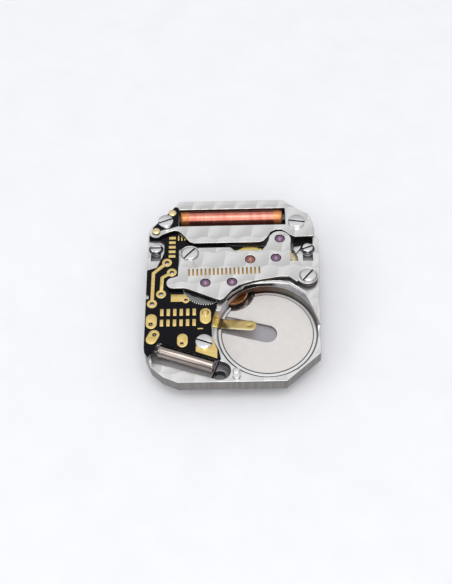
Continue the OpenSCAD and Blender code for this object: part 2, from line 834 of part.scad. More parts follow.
module setting_wheel() {
    color("silver") wheel(setting_pos, setting_n, setting_gear_r, hour_z + 0.14, cannon_z - hour_z - 0.14,
        stud_r + run, turn(setting_pos, minute_pos), 0);
}

module motion_cover() {
    color("silver") difference() {
        slab(0, cover_t) cover_area();
        for (p = cover_screws) {
            disc(p, shank_r + fit, -1, 1);
            at(p) cylinder(r1 = shank_r + cover_t + fit, r2 = shank_r + fit, h = cover_t);
        }
    }
}

module motion_cover_screws() {
    for (p = cover_screws)
        color("gainsboro") at(p) difference() {
            union() {
                cylinder(r1 = shank_r + cover_t, r2 = shank_r, h = cover_t);
                cylinder(r = shank_r, h = 0.6);
            }
            rotate(35) translate([-1, -slit_w / 3, -1]) cube([2, slit_w * 2 / 3, 1 + cover_t / 2]);
        }
}

module setting_lever() {
    pin = [lever_pos[0] + clutch_travel / 2, 0];
    color("silver") difference() {
        union() {
            slab(cover_t + 0.03, cover_t + 0.03 + lever_t) {
                spot(lever_pos, 0.28);
                stadium(lever_pos, pin, 0.34);
                stadium(lever_pos, lever_pos + lever_arm, 0.3);
            }
            disc(pin, 0.1, cover_t + 0.03, stem_z - 0.2);
        }
        disc(lever_pos, stud_r + run, -1, 1);
    }
}

module yoke() {
    pin = [yoke_pos[0] - clutch_travel / 2, 0];
    color("silver") difference() {
        union() {
            slab(cover_t + 0.03, cover_t + 0.03 + lever_t) {
                spot(yoke_pos, 0.32);
                stadium(yoke_pos, pin, 0.34);
            }
            disc(pin, 0.09, cover_t + 0.03, stem_z - 0.31);
        }
        disc(yoke_pos, stud_r + run, -1, 1);
    }
}

module sliding_pinion() {
    neck_w = 0.22;
    color("silver") translate([yoke_pos[0] - clutch_travel / 2, 0, stem_z]) rotate([0, 90, 0]) difference() {
        union() {
            for (start = [-clutch_len / 2, neck_w / 2])
                translate([0, 0, start]) linear_extrude((clutch_len - neck_w) / 2)
                    teeth(14, clutch_r / 1.121);
            translate([0, 0, -clutch_len / 2]) cylinder(r = 0.28, h = clutch_len);
        }
        cube([0.24, 0.24, 4], center = true);
    }
}

// Motor and coil

module stator() {
    color("gray") difference() {
        slab(stator_z, core_z) {
            stadium(coil_screw_a, [-3.4, 4.55], coil_end_w);
            stadium([-3.4, 4.55], [2.5, 4.35], 1.2);
            stadium([2.5, 4.35], rotor_pos, 1.2);
            spot(rotor_pos, 1.05);
            stadium(rotor_pos, coil_screw_b, coil_end_w);
        }
        disc(rotor_pos, stator_bore_r, 0, far);
        for (side = [0, 180])
            at(rotor_pos) rotate(side + 105) translate([stator_bore_r - 0.02, -0.1, 0]) cube([0.12, 0.2, 3]);
        for (p = [coil_screw_a, coil_screw_b])
            disc(p, shank_r + fit, 0, far);
    }
}

module coil_core() {
    color("gray") difference() {
        slab(core_z, core_z + core_t) {
            for (arm = core_arms) {
                stadium(arm[0], arm[1], core_arm_w);
                spot(arm[0], coil_end_w / 2);
            }
            stadium(core_arms[0][1], core_arms[1][1], core_w);
        }
        for (p = [coil_screw_a, coil_screw_b])
            disc(p, shank_r + fit, 0, far);
    }
}

module coil_winding() {
    wrap = 0.6;
    color("indianred") difference() {
        translate([0, coil_y, coil_z]) rotate([0, 90, 0]) union() {
            cylinder(r = coil_r, h = coil_len - 2 * wrap, center = true);
            cylinder(r = coil_r - 0.02, h = coil_len, center = true);
        }
        translate([-far, coil_y - core_w / 2 - 2 * fit, core_z - 2 * fit])
            cube([2 * far, core_w + 4 * fit, core_t + 4 * fit]);
    }
}

module coil_plate() {
    color("silver") difference() {
        union() {
            slab(coil_plate_z, coil_plate_top) {
                difference() {
                    polygon([
                        [-3.9, 7.15], [4.35, 7.1], [5.23, 6.42], [right - 0.37, 6.07],
                        [right - 0.12, 5.2], [right - 0.12, 4.02], [4.69, 3.98],
                        [4.3, 4.19], [4.03, 4.48], [3.7, 4.7], [3.3, 4.68], [2.9, 4.45], [2.72, 4.1],
                        [2.4, 3.68],
                        [2.1, 3.55], [-2.8, 3.55], [-3.1, 3.68], [-3.45, 4.15], [-3.7, 4.5], [-3.95, 4.7],
                        [-4.25, 4.78], [-4.6, 4.66], [-5.35, 4.3], [left + 0.6, 4.15], [left + 0.2, 4.3],
                        [left + 0.08, 4.65], [left + 0.2, 5.05]
                    ]);
                    translate([-3.92, 5.15]) square([7.97, coil_y + 0.35 - 5.15]);
                }
                spot([left + 0.58, 4.65], 0.5);
            }
            for (p = [coil_screw_a, coil_screw_b])
                disc(p, 0.45, core_z + core_t, coil_plate_z + 0.01);
        }
        for (p = [coil_screw_a, coil_screw_b])
            disc(p, shank_r + fit, 0, far);
    }
}

module coil_board() {
    color("#15151c") difference() {
        slab(coil_plate_top, coil_board_top) polygon([
            [-3.94, 5.2], [-3.92, 6.72], [-4.05, 6.92], [-4.25, 6.93], [-5.85, 5.02],
            [-5.9, 4.5], [-5.5, 4.4], [-5.3, 4.8], [-4.5, 5.02]
        ]);
        disc(coil_screw_a, shank_r + fit, 0, far);
    }
}

module coil_board_pads() {
    color("khaki") for (p = [[-4.43, 6.37], [-5.6, 4.68]])
        disc(p, 0.3, coil_board_top, coil_board_top + 2 * track_t);
}

// Circuit

rings = [[left + 1.45, 2.0], [left + 1.82, 1.12], [left + 0.46, -1.6], [left + 1.09, -0.77]];
square_via = [-3.32, -1.31];
oval_via = [-3.55, -4.94];

module board_holes() {
    for (p = rings)
        disc(p, 0.17, 0, far);
    for (p = lead_holes)
        disc(p, 0.15, 0, far);
    for (p = [square_via, oval_via])
        disc(p, 0.125, 0, far);
}

module circuit_board() {
    color("#0e0e16") difference() {
        slab(plate_t, board_top) difference() {
            polygon([
                [left, -0.75], [left + 0.2, -0.75], [left + 0.2, -1.15], [left, -1.15], [left, -5.2],
                [left + 0.05, -5.6], [left + 0.3, -6.0], [left + 0.58, -5.5], crystal_a + [-0.12, 0.39],
                crystal_b + [0.25, 0.21], crystal_b + [0.47, 0.3], crystal_b + [0.32, 1.0],
                [-1.44, -4.5], [-1.5, -3.5],
                [-1.4, -2.85], [-1.1, -1.9], [-1.12, -1.6], third_pos, [-3.9, 0.6], [-3.9, 3.3],
                [-3.0, 3.42], [-0.6, 3.4], [-0.4, 3.75], [-3.2, 3.9], [-3.9, 4.65],
                [-4.2, 4.9], [left + 1.3, 4.7], [left + 0.06, 4.5], [left + 0.06, 4.1], [left + 0.85, 4.05],
                [left + 1.2, 3.75], [left + 1.2, 2.9], [left + 1.1, 2.6], [left + 0.7, 1.6], [left, 1.35]
            ]);
            spot(third_pos, third_pocket_r);
        }
        board_holes();
        disc(circuit_screw_pos, shank_r + fit, 0, far);
    }
}

module oval_pad(p, half, turned = 0) {
    translate(p) rotate(turned) stadium([0, half[0] - half[1]], [0, half[1] - half[0]], 2 * half[0]);
}

module circuit_tracks() {
    color("goldenrod") {
        difference() {
            slab(board_top, board_top + track_t) {
                for (p = rings)
                    spot(p, 0.36);
                stadium(rings[0], [left + 0.48, 1.07], track_w);
                stadium([left + 0.48, 1.07], rings[2], track_w);
                stadium(rings[1], [left + 1.13, 0.67], track_w);
                stadium([left + 1.13, 0.67], rings[3], track_w);
                translate([-4.4, -1.44]) square([0.9, 0.62]);
                stadium([-3.5, -1.0], square_via, 0.4);
                spot(square_via, 0.27);
                oval_pad([-1.91, -2.7], [0.39, 0.65]);
                oval_pad(lead_holes[1] + [0.04, 0.22], [0.39, 0.61]);
                oval_pad(lead_holes[0] + [-0.12, -0.19], [0.38, 0.6], -25);
                oval_pad(oval_via + [0.04, 0.25], [0.37, 0.55]);
                stadium([-2.42, -3.74], [-2.12, -3.74], 0.1);
            }
            board_holes();
        }
        at([-1.93, -2.45], board_top) cylinder(r1 = 0.28, r2 = 0.16, h = 0.14);
    }
}

module ground_contact() {
    color("gold") difference() {
        slab(board_top, board_top + 0.05)
            polygon([[-2.57, -4.9], [-2.57, -5.62], [-1.08, -6.2], [-1.07, -5.5], [-1.45, -4.45]]);
        disc(circuit_screw_pos, shank_r + fit, 0, far);
    }
}

module ic_chip() {
    color("#202024") at(chip_pos, plate_t - chip_h) linear_extrude(chip_h) square(chip_w, center = true);
}

module crystal_can() {
    edge = 0.08;
    color("silver") at(crystal_a, crystal_z) rotate([0, 90, crystal_turn]) rotate_extrude() polygon([
        [0, 0], [crystal_r, 0], [crystal_r, 0.22], [crystal_r - 0.03, 0.26],
        [crystal_r - 0.03, crystal_len - edge], [crystal_r - 0.03 - edge, crystal_len], [0, crystal_len]
    ]);
}

module crystal_leads() {
    lead_r = 0.06;
    side = [-crystal_dir[1], crystal_dir[0]];
    knee = crystal_a - 0.3 * crystal_dir;
    color("silver") for (lead = [[0.17, lead_holes[0]], [-0.17, lead_holes[1]]]) {
        slab(crystal_z - lead_r, crystal_z + lead_r) {
            stadium(crystal_a - lead_r * crystal_dir + lead[0] * side, knee + lead[0] * side, 2 * lead_r);
            stadium(knee + lead[0] * side, lead[1], 2 * lead_r);
        }
        disc(lead[1], lead_r * 0.9, crystal_z, board_top + track_t);
    }
}

// Battery well

// Fixed foot of the strip, low in its channel and then up to the underside of the board
module battery_contact_foot() {
    foot_top = plate_t - 0.005;
    rise = 0.1 - slot_len;
    color("gold") at(slot_end) rotate([90, 0, slot_turn]) translate([0, 0, -blade_w / 2 - 0.02])
        linear_extrude(blade_w + 0.04) polygon([
            [-5.1, foot_top], [-5.1, foot_top - contact_t], [rise - contact_t, foot_top - contact_t],
            [rise - contact_t, blade_z - contact_t], [-blade_back - 0.02, blade_z - contact_t],
            [-blade_back - 0.02, blade_z], [rise, blade_z], [rise, foot_top]
        ]);
}

module battery_contact_blade() {
    color("gold") at(slot_end + blade_back * [-cos(slot_turn), -sin(slot_turn)], blade_z)
        rotate([0, 0, slot_turn]) rotate([0, -blade_rise, 0]) translate([0, 0, -contact_t])
            linear_extrude(contact_t) {
                translate([0, -blade_w / 2]) square([0.1, blade_w]);
                stadium([blade_w / 2, 0], [blade_len - blade_w / 2, 0], blade_w);
                translate([0.02, -blade_w / 2]) square([1, blade_w]);
            }
}

module battery_insulator() {
    color("gainsboro") slab(well_floor, well_floor + insulator_t) difference() {
        spot(well_pos, insulator_r);
        slot_shape(slot_w);
        circle(centre_recess_r);
    }
}

module battery_post() {
    color("silver") disc(post_pos, post_r, 0.5, post_top);
}

// Screws

module train_bridge_screws() {
    screw(bridge_screw_a, head_z, 0.6, head_h, 47, 1.3);
    screw(bridge_screw_b, head_z, 0.58, head_h, 50, 1.3);
}

module coil_board_screw() {
    screw(coil_screw_a, coil_board_top, 0.58, head_h, 21, 1.4);
}

module coil_plate_screw() {
    screw(coil_screw_b, coil_plate_top, 0.62, head_h, -9, 1.4);
}

module circuit_screw() {
    screw(circuit_screw_pos, board_top + 0.05, 0.6, head_h, -21, 1.2);
}

// A dial foot's screw has a flange in its pocket and a slotted head on a neck above the plate
module foot_screw(p, head_r, slit) {
    color("gainsboro") {
        disc(p, foot_flange_r, foot_floor + 0.01, foot_floor + 0.22);
        disc(p, 0.7 * head_r, foot_floor + 0.2, foot_head_z + 0.01);
    }
    screw(p, foot_head_z, head_r, foot_head_h, slit, foot_head_z - 0.6);
}

module dial_foot_screw_left() {
    foot_screw(foot_screw_a, 0.42, 0);
}

module dial_foot_screw_right() {
    foot_screw(foot_screw_b, 0.39, 20);
}

main_plate();
train_bridge();
bridge_jewels();
plate_jewels();
centre_wheel_bridge();
rotor_magnet();
rotor_pinion();
first_wheel();
first_pinion();
second_wheel();
second_lower_wheel();
upper_centre_wheel();
upper_centre_pinion();
third_wheel();
third_pinion();
centre_wheel();
centre_arbor();
cannon_pinion();
minute_wheel();
minute_pinion();
hour_wheel();
setting_wheel();
motion_cover();
motion_cover_screws();
setting_lever();
yoke();
sliding_pinion();
stator();
coil_core();
coil_winding();
coil_plate();
coil_board();
coil_board_pads();
circuit_board();
circuit_tracks();
ground_contact();
ic_chip();
crystal_can();
crystal_leads();
battery_contact_foot();
battery_contact_blade();
battery_insulator();
battery_post();
train_bridge_screws();
coil_board_screw();
coil_plate_screw();
circuit_screw();
dial_foot_screw_left();
dial_foot_screw_right();
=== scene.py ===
"""Looks of a slim two-hand quartz form movement, seen from the bridge side.

The frame is in metres. Shapes are made in millimetres and brought to metres as each piece is finished.
"""

import json
import math

import bmesh
import bpy
from mathutils import Matrix, Vector


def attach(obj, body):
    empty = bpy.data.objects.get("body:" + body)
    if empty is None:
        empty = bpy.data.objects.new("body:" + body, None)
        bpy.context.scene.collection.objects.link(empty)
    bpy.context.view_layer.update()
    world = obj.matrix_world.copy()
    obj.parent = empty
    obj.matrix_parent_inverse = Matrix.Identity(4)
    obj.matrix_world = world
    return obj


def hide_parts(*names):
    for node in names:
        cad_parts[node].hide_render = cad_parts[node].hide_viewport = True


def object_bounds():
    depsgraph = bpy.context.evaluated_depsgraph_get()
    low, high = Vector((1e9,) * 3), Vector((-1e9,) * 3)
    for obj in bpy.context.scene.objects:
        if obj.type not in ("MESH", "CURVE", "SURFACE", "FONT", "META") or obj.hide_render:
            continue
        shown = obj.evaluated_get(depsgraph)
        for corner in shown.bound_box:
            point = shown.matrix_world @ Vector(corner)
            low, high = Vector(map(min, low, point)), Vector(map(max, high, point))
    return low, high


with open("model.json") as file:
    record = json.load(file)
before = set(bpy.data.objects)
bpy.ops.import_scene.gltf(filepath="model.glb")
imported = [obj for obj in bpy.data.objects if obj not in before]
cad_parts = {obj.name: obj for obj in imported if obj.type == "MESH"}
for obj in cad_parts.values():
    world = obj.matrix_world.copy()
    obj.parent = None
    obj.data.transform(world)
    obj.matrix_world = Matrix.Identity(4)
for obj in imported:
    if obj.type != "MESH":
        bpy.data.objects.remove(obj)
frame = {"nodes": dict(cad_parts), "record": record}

cad_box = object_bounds()
MM = 1000.0

# Places and sizes in millimetres: X to the side away from the stem, Y to the coil, Z up

# Axes of the train and the motion work, the root circles of the wheels whose teeth carry a painted
# highlight, and the depth of the faint rings on turned metal
HANDS = (0.0, 0.0)
ROTOR = (3.57, 3.81)
FIRST = (3.23, 2.07)
SECOND = (1.35, 1.97)
THIRD = (-1.92, -0.03)
MINUTE = (-0.84, 1.455)
SETTING = (-2.72, 0.92)
UPPER_CENTRE_ROOT_R = 1.03
THIRD_ROOT_R = 1.59
TOOTH_FADE = 0.02
RING_DEPTH = 0.002

# Screws. A slot's walls and floor lie near the axis, between two depths below the head's top
BRIDGE_SCREWS = ((-3.07, 2.57), (5.5, 0.42))
COVER_SCREWS = ((-2.2, 2.45), (-2.5, -2.3))
COIL_SCREW_LEFT = (-4.91, 5.5)
COIL_SCREW_RIGHT = (4.87, 5.3)
CIRCUIT_SCREW = (-2.0, -4.92)
FOOT_SCREW_LEFT = (-5.6, 3.36)
FOOT_SCREW_RIGHT = (5.6, 3.14)
FOOT_FLANGE_TOP = 1.8
SCREW_SLOT_REACH = 0.2
SCREW_SLOT_DEPTHS = (0.02, 0.15)

# Jewels. Each rim point is a radius and how far it lies below the top
JEWEL_R = 0.37
JEWEL_T = 0.2
JEWEL_HOLE_R = 0.065
OIL_SINK_W = 0.135
OIL_SINK_H = 0.07
JEWEL_RIM = ((0.26, 0), (0.31, 0.002), (0.345, 0.012), (JEWEL_R, 0.04))
BRIDGE_JEWEL_Z = 2.2
LOWER_JEWELS = ((FIRST, 0.75), (ROTOR, 0.75), (SECOND, 0.5))

# Coil. The varnish over its ends dips below the wire: each point is how deep and how far along
COIL_Y = 6.375
COIL_Z = 1.7
COIL_R = 0.575
COIL_END = 3.85
COIL_BORE_R = 0.25
WIRE_PITCH = 0.05
WIRE_GROOVE = 0.005
WRAP_START = 3.2
WRAP_BORE_R = 0.2
WRAP_DIPS = ((0, 0), (0, 0.02), (0.02, 0.12), (0.008, 0.25), (0.022, 0.4), (0.02, 0.55), (0.05, 0.62),
             (0.12, COIL_END - WRAP_START))
COIL_BOARD_TOP = 2.5
COIL_PADS = ((-4.43, 6.37), (-5.6, 4.68))
SOLDER_R = 0.3
SOLDER_FLATTENED = 0.3

# Crystal can, the glass seal of its leads in radius and height, and the hole in the plate at its end
CRYSTAL = (-5.18, -5.11, 1.56)
CRYSTAL_TURN = -19.7
CRYSTAL_LEN = 4.13
CRYSTAL_R = 0.475
COLLAR_STEP = 0.03
COLLAR_LEN = 0.22
CAN_END_R = 0.14
CAN_LIP_R = 0.3
SEAL_PROFILE = ((0, 0.06), (0.29, 0.06), (0.31, 0.02), (0.29, 0.005), (0, 0.015))
CRYSTAL_HOLE = (-0.93, -6.64)
CRYSTAL_HOLE_REACH = 0.6

# Rows of plain bars: how many, the plan size of each, their pitch, the row's middle and its turn
BOARD_TOP = 2.15
BRIDGE_TOP = 2.45
BAR_T = 0.03
BAR_ROUND = 0.2 * BAR_T
BOARD_BAR_SINK = 0.008
BOARD_BARS = (
    (6, (0.24, 0.58), 0.46, (-3.86, -2.35), 0),
    (6, (0.24, 0.56), 0.46, (-3.86, -3.23), 0),
    (4, (0.1, 0.5), 0.24, (-3.58, 4.26), 0),
    (5, (0.24, 0.5), 0.42, (-4.4, 3.42), 90))
BRIDGE_BARS = (18, (0.14, 0.6), 0.3, (-0.56, 0.93), 1)

# Battery well. LEDGE_LINE is the plate's edge over the well's ledge
WELL = (2.45, -3.53)
WELL_R = 3.6
WELL_FLOOR = 1.0
INSULATOR_R = 3.24
POST = (0.22, -7.0)
PLATE_TOP = 2.0
LEDGE_TOP = 1.72
LEDGE_LINE = ((2.2, 0.28), (3.0, 0.32), (4.15, 0.19), (5.26, -0.74), (5.73, -1.93), (6.2, -3.2))
LEDGE_CHAMFER = 0.12

# Marks of the well, by place from its middle. The far wall's brown middle, its left end painted bright
# as light, and the painted shade on the ledge under the bridge each fade out between two places along X
BROWN_FADE = (-0.2, 2.2)
LIT_END_FADE = (-2.5, -2.0)
LIT_END_LOW_Y = 0.5
LIT_END_R = WELL_R + 1.1
LEDGE_SHADE_FADE = (0.4, 0.8)
LEDGE_SHADE_LOW_Y = 2.2
LEDGE_SHADE_R = WELL_R + 0.7
WALL_FIT = 0.04
DISC_SHADOW = (INSULATOR_R + 0.05, INSULATOR_R + 0.09)

# Battery contact: its slot in the plate, and its blade
SLOT_END = (2.42, -3.58)
SLOT_TURN = -15.5
SLOT_ANGLE = math.radians(SLOT_TURN)
SLOT_FLOOR = 0.8
BLADE_BACK = 3.3
BLADE_HALF_W = 0.36
BLADE_Z = 1.1
BLADE_RISE = 15.5
DIMPLE_X = 2.1
DIMPLE_L = 0.34
DIMPLE_W = 0.2
DIMPLE_H = 0.05
DIMPLE_CUTS = 6
CUT_FIT = 1e-5

# The blade's bend and its near edge, along and across the slot, and where a painted highlight lies
# along the edge and painted shade beside the bend
BLADE_BEND = SLOT_END[0] * math.cos(SLOT_ANGLE) + SLOT_END[1] * math.sin(SLOT_ANGLE) - BLADE_BACK
BLADE_EDGE = SLOT_END[1] * math.cos(SLOT_ANGLE) - SLOT_END[0] * math.sin(SLOT_ANGLE) - BLADE_HALF_W
LIT_EDGE = (BLADE_EDGE, BLADE_EDGE + 0.12)
FOLD_SHADE = (BLADE_BEND - 0.35, BLADE_BEND - 0.2)

# The main plate's grained levels and its plain floors
GRAINED_LEVELS = (0.0, 1.1, 2.0, 2.12, 2.18)
PLAIN_LEVELS = (0.6, 0.85, 1.085, 1.42, 1.5, 1.65, 1.72, 1.8)

# Finish of the plates: rows of large grained spots, each with one bright ray, a painted highlight for
# the light that the spot's circular grain catches. The scallop and the lean are shares of a spot, and
# the ray's foot lies that far left of and below the spot's corner
SPOT_W = 1.61
SPOT_H = 1.34
SPOT_SHIFT = 0.37
SPOT_SCALLOP = 0.07
SPOT_LEAN = -0.12
RAY_FOOT = (0.1, 0.15)
RAY = math.radians(68)
RAY_SHARPNESS = 5.0
MARKS_SHARE = 0.35
FLAT_ROUGH = (0.36, 0.26)
WALL_ROUGH = 0.52

# How far a face's normal points up where a wall's look turns into a flat's
WALL_TO_FLAT = (0.3, 0.6)

# Scales of the other patterns, in features to the millimetre
CLOUDS = 0.7
PLATE_GRAIN = 8.0
UPRIGHT_MARKS = 6.0
FLOOR_GRIT = 5.0
SMEARS = 1.1
SHEET_GRAIN = 5.0
LACQUER_SKIN = 1.6
WIRE_TONES = 4.0
VARNISH_COAT = 2.5
TABLE_FIBRES = 0.4

# Radii at which a jewel's colour changes: round its oil sink, painted lighter as a glow, and towards
# its rim, painted darker as shade
SINK_COLOUR = (0.08, 0.2)
RIM_COLOUR = (0.26, JEWEL_R)

body_of = {node: body for body, nodes in frame["record"]["behaviour"]["bodies"].items() for node in nodes}


# Materials

def colour(hex_text):
    """An sRGB hex colour as linear red, green, blue and alpha."""
    parts = [int(hex_text[i:i + 2], 16) / 255 for i in (1, 3, 5)]
    return [p / 12.92 if p <= 0.04045 else ((p + 0.055) / 1.055) ** 2.4 for p in parts] + [1.0]


def add(tree, kind, inputs=None, **settings):
    """Adds one node with its settings. Each input is a value, or the output that feeds it."""
    node = tree.nodes.new(kind)
    for key, value in settings.items():
        setattr(node, key, value)
    for key, value in (inputs or {}).items():
        if isinstance(value, bpy.types.NodeSocket):
            tree.links.new(value, node.inputs[key])
        else:
            node.inputs[key].default_value = value
    return node


def blank(name):
    """A new material and its empty node tree."""
    material = bpy.data.materials.new(name)
    material.use_nodes = True
    material.node_tree.nodes.clear()
    return material, material.node_tree


def surface(tree, inputs, relief=None, depth=0.0):
    """The shader with its inputs, and a relief of some depth in millimetres."""
    if relief:
        raised = add(tree, "ShaderNodeBump", {"Height": relief, "Distance": depth / MM})
        inputs["Normal"] = raised.outputs["Normal"]
    shader = add(tree, "ShaderNodeBsdfPrincipled", inputs)
    add(tree, "ShaderNodeOutputMaterial", {"Surface": shader.outputs["BSDF"]})


def place_mm(tree, stretch=(1, 1, 1), turn=0.0, shift=(0, 0, 0)):
    """Object coordinates in millimetres, stretched, turned about Z and then shifted."""
    coords = add(tree, "ShaderNodeTexCoord")
    mapping = add(tree, "ShaderNodeMapping", {
        "Vector": coords.outputs["Object"], "Scale": [MM * s for s in stretch],
        "Rotation": (0, 0, math.radians(turn)), "Location": shift})
    return mapping.outputs["Vector"]


def facing_up(tree):
    """1 on faces that look up, 0 on walls."""
    coords = add(tree, "ShaderNodeTexCoord")
    parts = add(tree, "ShaderNodeSeparateXYZ", {"Vector": coords.outputs["Normal"]})
    return add(tree, "ShaderNodeMapRange", {
        "Value": parts.outputs["Z"], "From Min": WALL_TO_FLAT[0],
        "From Max": WALL_TO_FLAT[1]}).outputs["Result"]


def from_well(tree):
    """Place from the well's middle in millimetres along X and along Y, and the distance in plan."""
    flat = place_mm(tree, stretch=(1, 1, 0), shift=(-WELL[0], -WELL[1], 0))
    parts = add(tree, "ShaderNodeSeparateXYZ", {"Vector": flat})
    distance = add(tree, "ShaderNodeVectorMath", {0: flat}, operation="LENGTH")
    return parts.outputs["X"], parts.outputs["Y"], distance.outputs["Value"]


def from_axis(tree):
    """Distance in millimetres from the own axis of a turned piece."""
    place = add(tree, "ShaderNodeAttribute", attribute_name="from_axis")
    distance = add(tree, "ShaderNodeVectorMath", {0: place.outputs["Vector"]}, operation="LENGTH")
    return distance.outputs["Value"]


def well_wall(tree, sides, tint, bright):
    """The colour of walls: the well's far wall is brown in its middle, and its left end is painted bright
    as light falling on it.
    """
    x, y, distance = from_well(tree)
    wall = add(tree, "ShaderNodeMath", {0: distance, 1: WELL_R, 2: WALL_FIT}, operation="COMPARE")
    # The far wall is brown from its middle leftwards, fading out towards the right
    right = add(tree, "ShaderNodeMapRange", {
        "Value": x, "From Min": BROWN_FADE[0], "From Max": BROWN_FADE[1], "To Min": 1.0, "To Max": 0.0})
    middle = add(tree, "ShaderNodeMath", {
        0: wall.outputs["Value"], 1: right.outputs["Result"]}, operation="MULTIPLY")
    browned = add(tree, "ShaderNodeMix", {
        0: middle.outputs["Value"], 6: sides, 7: colour(tint)}, data_type="RGBA")
    # Painted light: walls at the left end of the well's far side are painted bright, as if light falls on
    # them
    left = add(tree, "ShaderNodeMapRange", {
        "Value": x, "From Min": LIT_END_FADE[0], "From Max": LIT_END_FADE[1], "To Min": 1.0, "To Max": 0.0})
    near = add(tree, "ShaderNodeMath", {0: distance, 1: LIT_END_R}, operation="LESS_THAN")
    far = add(tree, "ShaderNodeMath", {0: y, 1: LIT_END_LOW_Y}, operation="GREATER_THAN")
    close = add(tree, "ShaderNodeMath", {
        0: near.outputs["Value"], 1: far.outputs["Value"]}, operation="MULTIPLY")
    end = add(tree, "ShaderNodeMath", {
        0: close.outputs["Value"], 1: left.outputs["Result"]}, operation="MULTIPLY")
    return add(tree, "ShaderNodeMix", {
        0: end.outputs["Value"], 6: browned.outputs[2], 7: colour(bright)}, data_type="RGBA")


def grained_spots(tree):
    """Rows of overlapping spots from a turning abrasive peg. In each, one bright ray widens from
    the lower left, and the next spot cuts it off sharply. The ray is a painted highlight, for the light
    that the spot's circular grain catches."""
    spot_place = place_mm(tree, stretch=(1 / SPOT_W, 1 / SPOT_H, 1))
    parts = add(tree, "ShaderNodeSeparateXYZ", {"Vector": spot_place})
    turns = add(tree, "ShaderNodeMath", {0: parts.outputs["X"], 1: math.tau}, operation="MULTIPLY")
    scallop = add(tree, "ShaderNodeMath", {0: turns.outputs["Value"]}, operation="SINE")
    height = add(tree, "ShaderNodeMath", {
        0: scallop.outputs["Value"], 1: SPOT_SCALLOP, 2: parts.outputs["Y"]}, operation="MULTIPLY_ADD")
    row = add(tree, "ShaderNodeMath", {0: height.outputs["Value"]}, operation="FLOOR")
    rise = add(tree, "ShaderNodeMath", {0: height.outputs["Value"]}, operation="FRACT")
    shifted = add(tree, "ShaderNodeMath", {
        0: row.outputs["Value"], 1: SPOT_SHIFT, 2: parts.outputs["X"]}, operation="MULTIPLY_ADD")
    leaning = add(tree, "ShaderNodeMath", {
        0: rise.outputs["Value"], 1: SPOT_LEAN, 2: shifted.outputs["Value"]}, operation="MULTIPLY_ADD")
    across = add(tree, "ShaderNodeMath", {0: leaning.outputs["Value"]}, operation="FRACT")
    along = add(tree, "ShaderNodeMath", {
        0: across.outputs["Value"], 1: SPOT_W, 2: RAY_FOOT[0]}, operation="MULTIPLY_ADD")
    up = add(tree, "ShaderNodeMath", {
        0: rise.outputs["Value"], 1: SPOT_H, 2: RAY_FOOT[1]}, operation="MULTIPLY_ADD")
    angle = add(tree, "ShaderNodeMath", {
        0: up.outputs["Value"], 1: along.outputs["Value"]}, operation="ARCTAN2")
    swing = add(tree, "ShaderNodeMath", {0: angle.outputs["Value"], 1: RAY}, operation="SUBTRACT")
    ray = add(tree, "ShaderNodeMath", {0: swing.outputs["Value"]}, operation="COSINE")
    return add(tree, "ShaderNodeMath", {
        0: ray.outputs["Value"], 1: RAY_SHARPNESS}, operation="POWER").outputs["Value"]


def grained_rhodium(name, light, dark, wall, wall_dark, tint=None, bright=None):
    """Brass plated with rhodium. Its flats are grained in large overlapping spots, and its walls
    are plain milled metal with faint upright tool marks, painted darker than the flats as shade."""
    material, tree = blank(name)
    soft = add(tree, "ShaderNodeTexNoise", {"Vector": place_mm(tree), "Scale": CLOUDS, "Detail": 2.0})
    grain = add(tree, "ShaderNodeTexNoise", {
        "Vector": place_mm(tree, stretch=(1, 0.1, 1), turn=20), "Scale": PLATE_GRAIN, "Detail": 4.0})
    marks = add(tree, "ShaderNodeMix", {0: 0.5, 2: soft.outputs["Fac"], 3: grain.outputs["Fac"]})
    # The spots' painted highlight, mixed with the grain's tone, sets the flats' colour and roughness
    peg = add(tree, "ShaderNodeMix", {0: MARKS_SHARE, 2: grained_spots(tree), 3: marks.outputs[0]})
    flat = add(tree, "ShaderNodeMix", {
        0: peg.outputs[0], 6: colour(dark), 7: colour(light)}, data_type="RGBA")
    # Walls take darker colours than the flats, painted as shade, with faint upright marks
    upright = add(tree, "ShaderNodeTexNoise", {
        "Vector": place_mm(tree, stretch=(1, 1, 0.05)), "Scale": UPRIGHT_MARKS, "Detail": 3.0})
    sides = add(tree, "ShaderNodeMix", {
        0: upright.outputs["Fac"], 6: colour(wall_dark), 7: colour(wall)}, data_type="RGBA")
    if tint:
        sides = well_wall(tree, sides.outputs[2], tint, bright)
    up = facing_up(tree)
    both = add(tree, "ShaderNodeMix", {
        0: up, 6: sides.outputs[2], 7: flat.outputs[2]}, data_type="RGBA")
    polish = add(tree, "ShaderNodeMapRange", {
        "Value": peg.outputs[0], "To Min": FLAT_ROUGH[0], "To Max": FLAT_ROUGH[1]})
    rough = add(tree, "ShaderNodeMix", {0: up, 2: WALL_ROUGH, 3: polish.outputs["Result"]})
    surface(tree, {"Base Color": both.outputs[2], "Metallic": 1.0, "Roughness": rough.outputs[0]},
            relief=grain.outputs["Fac"], depth=0.0015)
    return material


